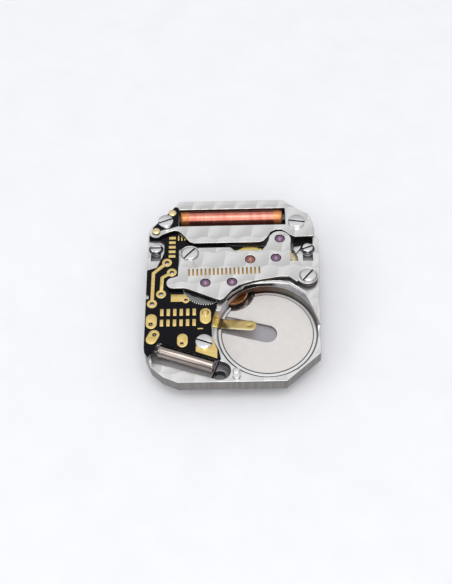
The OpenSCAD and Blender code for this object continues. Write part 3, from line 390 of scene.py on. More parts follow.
def milled_floor(name, light, dark, rough, edge=None, ledge_shade=None):
    """A milled floor of plated brass, matt and slightly mottled. edge is the colour of a painted line of
    shadow beside the insulating disc; the last argument is the colour of painted shade on the well's ledge
    under the bridge."""
    material, tree = blank(name)
    grit = add(tree, "ShaderNodeTexNoise", {"Vector": place_mm(tree), "Scale": FLOOR_GRIT, "Detail": 4.0})
    tone = add(tree, "ShaderNodeMix", {
        0: grit.outputs["Fac"], 6: colour(dark), 7: colour(light)}, data_type="RGBA")
    if edge:
        x, y, distance = from_well(tree)
        near = add(tree, "ShaderNodeMapRange", {
            "Value": distance, "From Min": DISC_SHADOW[0], "From Max": DISC_SHADOW[1],
            "To Min": 1.0, "To Max": 0.0})
        tone = add(tree, "ShaderNodeMix", {
            0: near.outputs["Result"], 6: tone.outputs[2], 7: colour(edge)}, data_type="RGBA")
    # Painted shade on the well's ledge under the bridge, fading out towards the right
    if ledge_shade:
        x, y, distance = from_well(tree)
        left = add(tree, "ShaderNodeMapRange", {
            "Value": x, "From Min": LEDGE_SHADE_FADE[0], "From Max": LEDGE_SHADE_FADE[1], "To Min": 1.0, "To Max": 0.0})
        far = add(tree, "ShaderNodeMath", {0: y, 1: LEDGE_SHADE_LOW_Y}, operation="GREATER_THAN")
        close = add(tree, "ShaderNodeMath", {0: distance, 1: LEDGE_SHADE_R}, operation="LESS_THAN")
        ledge = add(tree, "ShaderNodeMath", {
            0: far.outputs["Value"], 1: close.outputs["Value"]}, operation="MULTIPLY")
        shaded = add(tree, "ShaderNodeMath", {
            0: ledge.outputs["Value"], 1: left.outputs["Result"]}, operation="MULTIPLY")
        tone = add(tree, "ShaderNodeMix", {
            0: shaded.outputs["Value"], 6: tone.outputs[2], 7: colour(ledge_shade)}, data_type="RGBA")
    surface(tree, {"Base Color": tone.outputs[2], "Metallic": 0.7, "Roughness": rough},
            relief=grit.outputs["Fac"], depth=0.004)
    return material


def turned_metal(name, light, dark, ring, low, high, dome=0.0, teeth=None, root=0.0):
    """Metal turned on a lathe and polished: faint rings about each piece's own axis, of ring
    millimetres. The marks of a real tool are finer, and these are as coarse as they need to show.
    dome is how far the polish rounds off a head of one millimetre's radius, and teeth is the colour
    of a painted highlight on a wheel's teeth, outside their root circle."""
    material, tree = blank(name)
    radius = from_axis(tree)
    rings = add(tree, "ShaderNodeTexNoise", {
        "W": radius, "Scale": 1 / ring, "Detail": 2.0}, noise_dimensions="1D")
    smear = add(tree, "ShaderNodeTexNoise", {"Vector": place_mm(tree), "Scale": SMEARS, "Detail": 2.0})
    tone = add(tree, "ShaderNodeMix", {
        0: rings.outputs["Fac"], 6: colour(dark), 7: colour(light)}, data_type="RGBA")
    # A painted highlight on the teeth, outside the root circle
    if teeth:
        outer = add(tree, "ShaderNodeMapRange", {
            "Value": radius, "From Min": root, "From Max": root + TOOTH_FADE})
        tone = add(tree, "ShaderNodeMix", {
            0: outer.outputs["Result"], 6: tone.outputs[2], 7: colour(teeth)}, data_type="RGBA")
    rough = add(tree, "ShaderNodeMapRange", {"Value": smear.outputs["Fac"], "To Min": low, "To Max": high})
    square = add(tree, "ShaderNodeMath", {0: radius, 1: 2.0}, operation="POWER")
    fine = add(tree, "ShaderNodeMath", {0: rings.outputs["Fac"], 1: RING_DEPTH}, operation="MULTIPLY")
    height = add(tree, "ShaderNodeMath", {
        0: square.outputs["Value"], 1: -dome, 2: fine.outputs["Value"]}, operation="MULTIPLY_ADD")
    surface(tree, {"Base Color": tone.outputs[2], "Metallic": 1.0, "Roughness": rough.outputs["Result"]},
            relief=height.outputs["Value"], depth=1.0)
    return material


def grained_metal(name, light, dark, stretch, turn, low, high, edge=None, fold=None):
    """Strip or sheet metal with the fine straight grain of its rolling or grinding. edge is the
    colour of a painted highlight along the contact blade's near edge, and fold that of painted shade on
    its foot beside the bend."""
    material, tree = blank(name)
    grain = add(tree, "ShaderNodeTexNoise", {
        "Vector": place_mm(tree, stretch=stretch, turn=turn), "Scale": SHEET_GRAIN, "Detail": 4.0})
    tone = add(tree, "ShaderNodeMix", {
        0: grain.outputs["Fac"], 6: colour(dark), 7: colour(light)}, data_type="RGBA")
    # A painted highlight along the blade's near edge
    if edge:
        parts = add(tree, "ShaderNodeSeparateXYZ", {"Vector": place_mm(tree, turn=turn)})
        tint = add(tree, "ShaderNodeMapRange", {
            "Value": parts.outputs["Y"], "From Min": LIT_EDGE[0], "From Max": LIT_EDGE[1],
            "To Min": 1.0, "To Max": 0.0})
        tone = add(tree, "ShaderNodeMix", {
            0: tint.outputs["Result"], 6: tone.outputs[2], 7: colour(edge)}, data_type="RGBA")
    # Painted shade on the foot beside the bend
    if fold:
        parts = add(tree, "ShaderNodeSeparateXYZ", {"Vector": place_mm(tree, turn=turn)})
        bent = add(tree, "ShaderNodeMapRange", {
            "Value": parts.outputs["X"], "From Min": FOLD_SHADE[0], "From Max": FOLD_SHADE[1]})
        tone = add(tree, "ShaderNodeMix", {
            0: bent.outputs["Result"], 6: tone.outputs[2], 7: colour(fold)}, data_type="RGBA")
    rough = add(tree, "ShaderNodeMapRange", {"Value": grain.outputs["Fac"], "To Min": high, "To Max": low})
    surface(tree, {"Base Color": tone.outputs[2], "Metallic": 1.0, "Roughness": rough.outputs["Result"]},
            relief=grain.outputs["Fac"], depth=0.003)
    return material


def lacquered_board():
    """Glass-fibre board under glossy blue-black lacquer, whose skin is slightly uneven."""
    material, tree = blank("lacquered_board")
    skin = add(tree, "ShaderNodeTexNoise", {
        "Vector": place_mm(tree), "Scale": LACQUER_SKIN, "Detail": 3.0})
    tone = add(tree, "ShaderNodeMix", {
        0: skin.outputs["Fac"], 6: colour("#040407"), 7: colour("#0b0b13")}, data_type="RGBA")
    surface(tree, {"Base Color": tone.outputs[2], "Roughness": 0.16, "Specular IOR Level": 0.14},
            relief=skin.outputs["Fac"], depth=0.004)
    return material


def enamelled_wire():
    """Copper wire under clear red-brown enamel, with slightly uneven tone from turn to turn."""
    material, tree = blank("enamelled_copper_wire")
    turns = add(tree, "ShaderNodeTexNoise", {
        "Vector": place_mm(tree, stretch=(1, 0.15, 0.15)), "Scale": WIRE_TONES, "Detail": 4.0})
    tone = add(tree, "ShaderNodeMix", {
        0: turns.outputs["Fac"], 6: colour("#b4524a"), 7: colour("#eda28d")}, data_type="RGBA")
    surface(tree, {"Base Color": tone.outputs[2], "Metallic": 0.95, "Roughness": 0.3})
    return material


def wrapped_wire():
    """Wire ends under orange insulating varnish, which is thicker in places."""
    material, tree = blank("orange_varnished_wire")
    coat = add(tree, "ShaderNodeTexNoise", {
        "Vector": place_mm(tree), "Scale": VARNISH_COAT, "Detail": 3.0})
    tone = add(tree, "ShaderNodeMix", {
        0: coat.outputs["Fac"], 6: colour("#b8642f"), 7: colour("#f2a468")}, data_type="RGBA")
    surface(tree, {"Base Color": tone.outputs[2], "Metallic": 0.6, "Roughness": 0.32, "Coat Weight": 0.3})
    return material


def synthetic_ruby(name, middle, body, rim):
    """Polished synthetic ruby: painted lighter at its middle as a glow of light through the oil sink, and
    painted darker at its rim as shade.
    """
    material, tree = blank(name)
    radius = from_axis(tree)
    inner = add(tree, "ShaderNodeMapRange", {
        "Value": radius, "From Min": SINK_COLOUR[0], "From Max": SINK_COLOUR[1]})
    outer = add(tree, "ShaderNodeMapRange", {
        "Value": radius, "From Min": RIM_COLOUR[0], "From Max": RIM_COLOUR[1]})
    core = add(tree, "ShaderNodeMix", {
        0: inner.outputs["Result"], 6: colour(middle), 7: colour(body)}, data_type="RGBA")
    tone = add(tree, "ShaderNodeMix", {
        0: outer.outputs["Result"], 6: core.outputs[2], 7: colour(rim)}, data_type="RGBA")
    surface(tree, {"Base Color": tone.outputs[2], "Roughness": 0.07, "IOR": 1.77, "Coat Weight": 0.5})
    return material


def speckled(name, light, dark, grit, rough, metallic=0.0):
    """A moulded, sintered or cast surface with fine specks of this size in millimetres."""
    material, tree = blank(name)
    specks = add(tree, "ShaderNodeTexNoise", {"Vector": place_mm(tree), "Scale": 1 / grit, "Detail": 3.0})
    tone = add(tree, "ShaderNodeMix", {
        0: specks.outputs["Fac"], 6: colour(dark), 7: colour(light)}, data_type="RGBA")
    surface(tree, {"Base Color": tone.outputs[2], "Roughness": rough, "Metallic": metallic},
            relief=specks.outputs["Fac"], depth=grit / 20)
    return material


# Plated brass. Rhodium is cool and nearly white, and its floors are duller than its grained flats.
# Its walls are painted darker than its flats as shade
# The well's far wall is brown in its middle, and its left end is painted bright as light falling on it
plate_rhodium = grained_rhodium("rhodium_plate_grained", "#f6f5f3", "#d0cecc", "#a19e9b", "#73706d",
                                tint="#6b5043", bright="#ded9de")
# The bridges' walls are painted darker still, as shade
bridge_rhodium = grained_rhodium("rhodium_bridge_grained", "#f4f3f0", "#cccac7", "#5c5754", "#35312f")
# Recess floors, with painted shade on the well's ledge under the bridge
plain_floor = milled_floor("milled_recess_floor", "#a9a7a8", "#7a787b", 0.42, ledge_shade="#2b2220")
# The deep train recesses' floors, painted dark as shade
shaded_recess_floor = milled_floor("train_recess_painted_shade", "#4c4a4d", "#2e2c2f", 0.5)
# The walls of the hole at the crystal's end, painted blue-black as shade
hole_wall = milled_floor("crystal_hole_in_painted_shade", "#23242f", "#101119", 0.5)
slot_floor = milled_floor("matt_slot_floor", "#aeabaf", "#a3a0a4", 0.5)
well_ring = milled_floor("plated_well_floor", "#f0f0ee", "#dfdfdd", 0.34, edge="#5f5a58")

# Turned and polished metal, whose tight shine runs in rings. Wheels are duller than screw heads
screw_steel = turned_metal("polished_screw_steel", "#f2f2f1", "#d6d6d5", 0.05, 0.14, 0.24, dome=0.16)
# Screw slots, painted dark as shade
screw_slot = turned_metal("screw_slot_in_painted_shade", "#5a554f", "#38342f", 0.05, 0.4, 0.55)
flange_steel = turned_metal("grey_turned_flange", "#a9a8aa", "#7e7d80", 0.05, 0.3, 0.42)
arbor_steel = turned_metal("hardened_arbor_steel", "#d5d6da", "#9b9ca2", 0.04, 0.14, 0.26)
wheel_steel = turned_metal("nickel_plated_wheel", "#cfd0d2", "#96979b", 0.06, 0.2, 0.34)
wheel_brass = turned_metal("gilt_brass_wheel", "#fbe58c", "#e6c463", 0.06, 0.2, 0.34)
pale_brass = turned_metal("pale_gilt_wheel", "#f6e8bb", "#dcc792", 0.06, 0.2, 0.34)
# Two wheels whose teeth carry a painted highlight outside their root circles
third_steel = turned_metal("nickel_plated_third_wheel", "#a3a5a4", "#5f6160", 0.06, 0.2, 0.34,
                           teeth="#f4f5f6", root=THIRD_ROOT_R)
coppery_brass = turned_metal("coppery_brass_wheel", "#c98c50", "#7c4d26", 0.06, 0.22, 0.36,
                             teeth="#f7bd84", root=UPPER_CENTRE_ROOT_R)
pipe_brass = turned_metal("brass_hour_pipe", "#e3bd72", "#b48a42", 0.06, 0.2, 0.32)

# Rolled, drawn and ground metal, with a straight sheen across its grain
dial_side_nickel = grained_metal("nickel_plated_sheet", "#d2cfc9", "#a8a5a0", (0.1, 1, 1), 0, 0.25, 0.38)
spring_steel = grained_metal("ground_spring_steel", "#c4c5c9", "#8f9095", (0.1, 1, 1), 35, 0.2, 0.34)
gold_track = grained_metal("gold_plated_copper_track", "#fdeaa6", "#dcb25c", (0.3, 1, 1), 20, 0.24, 0.4)
# The blade, with a painted highlight along its near edge
gold_strip = grained_metal("gold_plated_contact_strip", "#efd898", "#c5a45c", (0.08, 1, 1), -SLOT_TURN,
                           0.2, 0.34, edge="#fff3c2")
# Its foot: the same strip, given darker colours as painted shade, and darker still beside the bend
shaded_gold_fold = grained_metal("gold_strip_fold_in_painted_shade", "#e5cd7c", "#b08f47", (1, 0.2, 1), -SLOT_TURN,
                          0.2, 0.34, fold="#57462b")
gold_mark = grained_metal("gilt_filled_bars", "#c9a566", "#8d6a37", (1, 0.3, 1), 0, 0.3, 0.45)
soft_iron = grained_metal("annealed_soft_iron", "#b9b9ba", "#8b8b8e", (0.1, 1, 1), 5, 0.35, 0.5)
tinned_wire = grained_metal("tinned_copper_lead", "#d4d4d2", "#a2a2a0", (0.2, 1, 1), 0, 0.28, 0.4)
drawn_can = grained_metal("drawn_nickel_silver_can", "#aba29a", "#7d726c", (0.08, 1, 1), -CRYSTAL_TURN,
                          0.12, 0.2)

# Lacquer, varnish and ruby, which show light from their skin as well as from below it. The ruby's
# lighter middle is a painted glow, and its darker rim painted shade
board_lacquer = lacquered_board()
coil_wire = enamelled_wire()
coil_wrap = wrapped_wire()
purple_ruby = synthetic_ruby("purple_ruby", "#a87c9f", "#5e335a", "#2f152a")
orange_ruby = synthetic_ruby("orange_ruby", "#c07f6f", "#7d3a2f", "#451c16")

# Moulded, fused and sintered surfaces, dull to satin with fine specks, and the ledge's chamfer, painted
# white as a highlight
chip_epoxy = speckled("moulded_black_epoxy", "#26262a", "#151518", 0.06, 0.55)
glass_seal = speckled("fused_glass_seal", "#3d4644", "#1f2625", 0.1, 0.15)
magnet_grit = speckled("sintered_magnet", "#55555a", "#2f2f33", 0.05, 0.45, 0.8)
# The well ledge's chamfer, painted white as a highlight
lit_chamfer = speckled("ledge_chamfer_painted_highlight", "#ffffff", "#efefed", 0.1, 0.3, 0.3)
insulating_film = speckled("pale_insulating_film", "#dcd8d4", "#cfcbc7", 0.5, 0.42)
pad_solder = speckled("gilt_solder_dot", "#fbeec4", "#e3c98a", 0.12, 0.35, 0.9)


# Making and finishing pieces

SMOOTH_ANGLE = 50
SHARP_ANGLE = 35
FLAT_ANGLE = 1
MERGE = 0.0015
AXIS_MERGE = 1e-4
QUARTER_ROUND = [math.radians(degrees) for degrees in (0, 22, 45, 68, 90)]


def whole(node):
    """A copy of a CAD node in millimetres, with its loose triangles joined into whole faces."""
    bm = bmesh.new()
    bm.from_mesh(frame["nodes"][node].data)
    bmesh.ops.scale(bm, vec=(MM, MM, MM), verts=bm.verts)
    bmesh.ops.remove_doubles(bm, verts=bm.verts, dist=MERGE)
    bmesh.ops.dissolve_degenerate(bm, dist=MERGE, edges=bm.edges)
    bmesh.ops.dissolve_limit(bm, angle_limit=math.radians(FLAT_ANGLE), verts=bm.verts, edges=bm.edges)
    return bm


def sharp_edges(bm):
    """Every edge that meets at a sharp angle."""
    least = math.radians(SHARP_ANGLE)
    return [edge for edge in bm.edges if edge.is_manifold and edge.calc_face_angle() > least]


def soften(bm, width, edges=None):
    """Rounds the given edges, or else every sharp one."""
    if edges is None:
        edges = sharp_edges(bm)
    bmesh.ops.bevel(bm, geom=edges, offset=width, offset_type="OFFSET", affect="EDGES",
                    segments=2, profile=0.5, material=-1, clamp_overlap=False)


def finish_piece(bm, name, body, material, nodes=(), axes=(), others=()):
    """Makes the mesh an object in metres that rides on its body and stands for its CAD nodes.
    axes are the places of the turning axes; each point keeps its place from the nearest one.
    others are the materials of faces whose material index isn't 0."""
    bmesh.ops.recalc_face_normals(bm, faces=bm.faces)
    mesh = bpy.data.meshes.new(name)
    if axes:
        layer = bm.verts.layers.float_vector.new("from_axis")
        for vert in bm.verts:
            offsets = [Vector((vert.co.x - x, vert.co.y - y, 0)) for x, y in axes]
            vert[layer] = min(offsets, key=lambda offset: offset.length)
    bmesh.ops.scale(bm, vec=(1 / MM, 1 / MM, 1 / MM), verts=bm.verts)
    bm.to_mesh(mesh)
    bm.free()
    for surface_material in (material, *others):
        mesh.materials.append(surface_material)
    mesh.shade_smooth()
    mesh.set_sharp_from_angle(angle=math.radians(SMOOTH_ANGLE))
    piece = bpy.data.objects.new(name, mesh)
    bpy.context.scene.collection.objects.link(piece)
    weighted = piece.modifiers.new("Weighted Normal", "WEIGHTED_NORMAL")
    weighted.keep_sharp = True
    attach(piece, body)
    if nodes:
        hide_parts(*nodes)
    return piece


def dress(node, width, material, axes=()):
    """Stands a copy with rounded edges in a CAD node's place."""
    bm = whole(node)
    soften(bm, width)
    return finish_piece(bm, node + "_finished", body_of[node], material, (node,), axes)


def lathe(profile, steps=48):
    """A turned shape about Z from (radius, height) points."""
    bm = bmesh.new()
    verts = [bm.verts.new((r, 0, z)) for r, z in profile]
    edges = [bm.edges.new(pair) for pair in zip(verts, verts[1:])]
    bmesh.ops.spin(bm, geom=verts + edges, cent=(0, 0, 0), axis=(0, 0, 1), angle=math.tau,
                   steps=steps, use_merge=True)
    bmesh.ops.remove_doubles(bm, verts=bm.verts, dist=AXIS_MERGE)
    return bm


def move(bm, place, turn=None):
    """Turns the shape by a matrix and moves it."""
    if turn:
        bmesh.ops.transform(bm, matrix=turn, verts=bm.verts)
    bmesh.ops.translate(bm, vec=place, verts=bm.verts)
    return bm


def together(parts):
    """Several shapes as one."""
    bm = bmesh.new()
    for part in parts:
        mesh = bpy.data.meshes.new("part")
        part.to_mesh(mesh)
        part.free()
        bm.from_mesh(mesh)
        bpy.data.meshes.remove(mesh)
    return bm


# Plates, bridges and boards

LEVEL_FIT = 0.002
LINE_FIT = 0.01
LOOKS_UP = 0.9
UPRIGHT = 0.1


def from_line(point, a, b):
    """Distance in plan of a point from the line between two places."""
    along = Vector(b) - Vector(a)
    offset = point.xy - Vector(a)
    share = max(0.0, min(1.0, offset.dot(along) / along.dot(along)))
    return (offset - share * along).length


def on_ledge(point):
    """Whether a point lies on the line of the well's ledge."""
    return min(from_line(point, a, b) for a, b in zip(LEDGE_LINE, LEDGE_LINE[1:])) < LINE_FIT


def at_level(z, levels):
    """Whether a height is one of these levels."""
    return min(abs(z - level) for level in levels) < LEVEL_FIT


def plate_finish(face):
    """The finish of one of the plate's faces, by where it lies and how it looks."""
    middle = face.calc_center_median()
    if face.normal.z > LOOKS_UP:
        if at_level(middle.z, PLAIN_LEVELS):
            return plain_floor
        if at_level(middle.z, (WELL_FLOOR,)):
            return well_ring
        if at_level(middle.z, (SLOT_FLOOR,)):
            return slot_floor
        # Floors at other depths lie in the train's recesses and are painted dark as shade
        if not at_level(middle.z, GRAINED_LEVELS):
            return shaded_recess_floor
    elif abs(face.normal.z) < UPRIGHT:
        # The walls of the hole at the crystal's end are painted dark as shade
        from_hole = (middle.xy - Vector(CRYSTAL_HOLE)).length
        if middle.z < WELL_FLOOR and from_hole < CRYSTAL_HOLE_REACH:
            return hole_wall
        # The chamfer over the well's ledge is painted white as a highlight
        if LEDGE_TOP < middle.z < PLATE_TOP and on_ledge(middle):
            return lit_chamfer
    return plate_rhodium


def main_plate():
    """The plate with grained levels, plain recess floors and deep ones painted dark as shade, a smooth
    well floor and a chamfer over the well's ledge painted white as a highlight. Inner corners stay sharp,
    so that the levers keep their room."""
    bm = whole("main_plate")
    finishes = [plate_rhodium, plain_floor, well_ring, slot_floor, shaded_recess_floor, lit_chamfer, hole_wall]
    for face in bm.faces:
        face.material_index = finishes.index(plate_finish(face))
    ledge = [edge for edge in bm.edges
             if all(at_level(vert.co.z, (PLATE_TOP,)) for vert in edge.verts)
             and on_ledge((edge.verts[0].co + edge.verts[1].co) / 2)]
    bmesh.ops.bevel(bm, geom=ledge, offset=LEDGE_CHAMFER, offset_type="OFFSET", affect="EDGES",
                    segments=1, profile=0.5, material=-1, clamp_overlap=True)
    soften(bm, 0.035, [edge for edge in sharp_edges(bm) if edge.is_convex])
    finish_piece(bm, "main_plate_finished", "frame", plate_rhodium, ("main_plate",),
                 others=finishes[1:])


def plates():
    """The main plate and the plates and bridges that it carries."""
    main_plate()
    dress("train_bridge", 0.03, bridge_rhodium)
    dress("coil_plate", 0.035, bridge_rhodium)
    dress("centre_wheel_bridge", 0.01, dial_side_nickel)
    dress("motion_cover", 0.01, dial_side_nickel)


def boards():
    """The two boards with their tracks and contacts, the chip and the crystal's leads."""
    dress("circuit_board", 0.015, board_lacquer)
    dress("circuit_tracks", 0.006, gold_track)
    dress("ground_contact", 0.015, gold_track)
    dress("coil_board", 0.015, board_lacquer)
    dress("ic_chip", 0.05, chip_epoxy)
    dress("crystal_leads", 0.02, tinned_wire)


def bars(count, size, pitch, place, turn, z):
    """A row of plain bars along X, then turned about Z and moved to its place and height."""
    row = []
    for i in range(count):
        bar = bmesh.new()
        bmesh.ops.create_cube(bar, size=1.0)
        bmesh.ops.scale(bar, vec=(*size, BAR_T), verts=bar.verts)
        soften(bar, BAR_ROUND)
        row.append(move(bar, ((i - (count - 1) / 2) * pitch, 0, 0)))
    return move(together(row), (*place, z), Matrix.Rotation(math.radians(turn), 4, "Z"))


def marks():
    """Plain gilt bars on the board, and others that are half sunk in the bridge."""
    board_z = BOARD_TOP + BAR_T / 2 - BOARD_BAR_SINK
    rows = [bars(*row, board_z) for row in BOARD_BARS]
    finish_piece(together(rows), "board_bars", "frame", gold_track)
    finish_piece(bars(*BRIDGE_BARS, BRIDGE_TOP), "bridge_bars", "frame", gold_mark)


# Jewels

def jewel(place, z):
    """A pierced jewel with a polished oil sink and a rounded rim."""
    top = z + JEWEL_T
    sink = [(JEWEL_HOLE_R + OIL_SINK_W * math.sin(a), top - OIL_SINK_H * math.cos(a))
            for a in QUARTER_ROUND]
    rim = [(r, top - drop) for r, drop in JEWEL_RIM]
    profile = [(JEWEL_HOLE_R, z)] + sink + rim + [(JEWEL_R, z), (JEWEL_HOLE_R, z)]
    return move(lathe(profile), (place[0], place[1], 0))


def jewels():
    """Four purple jewels and an orange one in the bridge, and three below."""
    purple = [HANDS, THIRD, FIRST, ROTOR]
    upper = [jewel(place, BRIDGE_JEWEL_Z) for place in purple]
    finish_piece(together(upper), "purple_bridge_jewels", "frame", purple_ruby, ("bridge_jewels",),
                 purple)
    finish_piece(jewel(SECOND, BRIDGE_JEWEL_Z), "orange_bridge_jewel", "frame",
                 orange_ruby, ("bridge_jewels",), (SECOND,))
    lower = [jewel(place, z) for place, z in LOWER_JEWELS]
    finish_piece(together(lower), "lower_jewels", "frame", purple_ruby, ("plate_jewels",),
                 [place for place, z in LOWER_JEWELS])


# Train, motion work and stem side

def train():
    """The wheels, each with its own metal, the pinions and arbors, and the rotor's magnet."""
    for node, axis, material in (
            ("first_wheel", FIRST, pale_brass), ("second_wheel", SECOND, wheel_brass),
            ("upper_centre_wheel", HANDS, coppery_brass), ("third_wheel", THIRD, third_steel),
            ("centre_wheel", HANDS, wheel_steel), ("minute_wheel", MINUTE, wheel_brass),
            ("setting_wheel", SETTING, wheel_steel), ("hour_wheel", HANDS, pipe_brass)):
        dress(node, 0.01, material, (axis,))
    for node, axis in (
            ("rotor_pinion", ROTOR), ("first_pinion", FIRST), ("second_lower_wheel", SECOND),
            ("upper_centre_pinion", HANDS), ("third_pinion", THIRD), ("centre_arbor", HANDS),
            ("cannon_pinion", HANDS), ("minute_pinion", MINUTE)):
        dress(node, 0.006, arbor_steel, (axis,))
    dress("rotor_magnet", 0.02, magnet_grit, (ROTOR,))


def stem_side():
    """The setting parts and the screws of the motion work's cover."""
    dress("setting_lever", 0.012, spring_steel)
    dress("yoke", 0.012, spring_steel)
    dress("sliding_pinion", 0.01, spring_steel)
    dress("motion_cover_screws", 0.008, screw_steel, COVER_SCREWS)


# Motor and coil

def winding():
    """Rings of wire side by side. The real wire is about 0.02 mm thick and would not show, so the
    rings are drawn thicker."""
    groove = COIL_R - WIRE_GROOVE
    profile = [(COIL_BORE_R, -WRAP_START)]
    for i in range(int(2 * WRAP_START / WIRE_PITCH)):
        start = i * WIRE_PITCH - WRAP_START
        profile += [(groove, start), (COIL_R, start + WIRE_PITCH / 2)]
    profile += [(groove, WRAP_START), (COIL_BORE_R, WRAP_START)]
    level = Matrix.Rotation(math.radians(90), 4, "Y")
    turns = move(lathe(profile, steps=40), (0, COIL_Y, COIL_Z), level)
    finish_piece(turns, "coil_turns", "frame", coil_wire, ("coil_winding",))


def wrapped_ends():
    """The varnished ends of the winding, uneven where the varnish ran."""
    skin = [(COIL_R - WIRE_GROOVE - dip, along) for dip, along in WRAP_DIPS]
    wrap = [(WRAP_BORE_R, 0)] + skin + [(WRAP_BORE_R, COIL_END - WRAP_START)]
    ends = []
    for side in (-1, 1):
        level = Matrix.Rotation(math.radians(side * 90), 4, "Y")
        ends.append(move(lathe(wrap, steps=40), (side * WRAP_START, COIL_Y, COIL_Z), level))
    finish_piece(together(ends), "coil_wrapped_ends", "frame", coil_wrap, ("coil_winding",))


def motor():
    """The stator, the coil's core and the flattened solder dots on the coil board's pads."""
    dress("stator", 0.02, soft_iron)
    dress("coil_core", 0.02, soft_iron)
    dots = []
    for x, y in COIL_PADS:
        dot = bmesh.new()
        bmesh.ops.create_icosphere(dot, subdivisions=3, radius=SOLDER_R)
        bmesh.ops.bisect_plane(dot, geom=dot.verts[:] + dot.edges[:] + dot.faces[:], plane_co=(0, 0, 0),
                               plane_no=(0, 0, -1), clear_outer=True)
        bmesh.ops.scale(dot, vec=(1, 1, SOLDER_FLATTENED), verts=dot.verts)
        rim = [edge for edge in dot.edges if edge.is_boundary]
        bmesh.ops.edgeloop_fill(dot, edges=rim)
        dots.append(move(dot, (x, y, COIL_BOARD_TOP)))
    finish_piece(together(dots), "coil_solder_dots", "frame", pad_solder, ("coil_board_pads",))


def crystal():
    """The drawn can with its rolled collar, its rounded closed end and the glass seal of its leads."""
    body = CRYSTAL_R - COLLAR_STEP
    collar = [(CAN_LIP_R, COLLAR_STEP), (CAN_LIP_R + COLLAR_STEP, 0), (body, 0), (CRYSTAL_R, COLLAR_STEP),
              (CRYSTAL_R, COLLAR_LEN - COLLAR_STEP), (CRYSTAL_R - 0.008, COLLAR_LEN),
              (body, COLLAR_LEN + COLLAR_STEP)]
    round_end = [(body - CAN_END_R * (1 - math.cos(a)), CRYSTAL_LEN - CAN_END_R * (1 - math.sin(a)))
                 for a in QUARTER_ROUND]
    can = collar + round_end + [(0, CRYSTAL_LEN)]
    lie = Matrix.Rotation(math.radians(CRYSTAL_TURN), 4, "Z") @ Matrix.Rotation(math.radians(90), 4, "Y")
    finish_piece(move(lathe(can, steps=56), CRYSTAL, lie), "crystal_drawn_can", "frame", drawn_can,
                 ("crystal_can",))
    seal = move(lathe(SEAL_PROFILE, steps=32), CRYSTAL, lie)
    finish_piece(seal, "crystal_glass_seal", "frame", glass_seal)


# Battery well

def blade():
    """The raised spring blade, pressed to a shallow oval dimple near its tip. It is cut finely
    along and across there, in its own frame with its bend at the origin."""
    bm = whole("battery_contact_blade")
    bend = Vector((SLOT_END[0] - BLADE_BACK * math.cos(SLOT_ANGLE),
                   SLOT_END[1] - BLADE_BACK * math.sin(SLOT_ANGLE), BLADE_Z))
    stand = (Matrix.Translation(bend) @ Matrix.Rotation(SLOT_ANGLE, 4, "Z")
             @ Matrix.Rotation(math.radians(-BLADE_RISE), 4, "Y"))
    bmesh.ops.transform(bm, matrix=stand.inverted(), verts=bm.verts)
    for i in range(-DIMPLE_CUTS - 1, DIMPLE_CUTS + 2):
        along = DIMPLE_X + i * DIMPLE_L / DIMPLE_CUTS
        across = i * DIMPLE_W / DIMPLE_CUTS
        for point, normal in (((along, 0, 0), (1, 0, 0)), ((0, across, 0), (0, 1, 0))):
            bmesh.ops.bisect_plane(bm, geom=bm.verts[:] + bm.edges[:] + bm.faces[:], plane_co=point,
                                   plane_no=normal, dist=CUT_FIT)
    for vert in bm.verts:
        share = math.hypot((vert.co.x - DIMPLE_X) / DIMPLE_L, vert.co.y / DIMPLE_W)
        if share < 1:
            vert.co.z -= DIMPLE_H * (1 + math.cos(math.pi * share)) / 2
    soften(bm, 0.025)
    bmesh.ops.transform(bm, matrix=stand, verts=bm.verts)
    finish_piece(bm, "contact_spring_blade", "contact_blade", gold_strip, ("battery_contact_blade",))


def well():
    """The contact's blade and foot, the insulating disc and the locating post."""
    blade()
    dress("battery_contact_foot", 0.015, shaded_gold_fold)
    dress("battery_insulator", 0.012, insulating_film)
    dress("battery_post", 0.06, screw_steel, (POST,))


# Screws

def screws():
    """Slotted screws whose slots are painted dark as shade; the feet's screws also have a greyer flange.
    """
    for node, axes in (
            ("train_bridge_screws", BRIDGE_SCREWS), ("coil_board_screw", (COIL_SCREW_LEFT,)),
            ("coil_plate_screw", (COIL_SCREW_RIGHT,)), ("circuit_screw", (CIRCUIT_SCREW,)),
            ("dial_foot_screw_left", (FOOT_SCREW_LEFT,)), ("dial_foot_screw_right", (FOOT_SCREW_RIGHT,))):
        bm = whole(node)
        top = max(vert.co.z for vert in bm.verts)
        for face in bm.faces:
            middle = face.calc_center_median()
            radius = min((middle.xy - Vector(axis)).length for axis in axes)
            in_slot = SCREW_SLOT_DEPTHS[0] < top - middle.z < SCREW_SLOT_DEPTHS[1]
            # Faces in the slot are painted dark as shade
            if radius < SCREW_SLOT_REACH and in_slot:
                face.material_index = 1
            elif middle.z < FOOT_FLANGE_TOP:
                face.material_index = 2
        soften(bm, 0.015)
        finish_piece(bm, node + "_finished", body_of[node], screw_steel, (node,), axes,
                     (screw_slot, flange_steel))


plates()
boards()
marks()
jewels()
train()
stem_side()
winding()
wrapped_ends()
motor()
crystal()
well()
screws()


# Floor, light and camera

FLOOR_SIDE = 0.8
LAMP_AIM = Vector((0, 0, 0.001))

# The camera fitted to the photograph: angles in degrees, and a focal length in pixels
CAMERA_AIM = Vector((-0.468, 0.094, 1.0)) / MM
CAMERA_DISTANCE = 74.008 / MM
CAMERA_ELEVATION = 55.902
CAMERA_AZIMUTH = 1.730
CAMERA_ROLL = -2.568
FOCAL_PIXELS = 1011.2
LONG_SIDE = 584

# Square soft lamps: azimuth and elevation in degrees, distance and side in metres, and watts
LAMPS = (("overhead_lamp", 10, 78, 0.4, 0.22, 0.42),
         ("near_side_lamp", 6, 38, 0.45, 0.26, 0.3),
         ("left_side_lamp", -72, 38, 0.5, 0.25, 0.3))

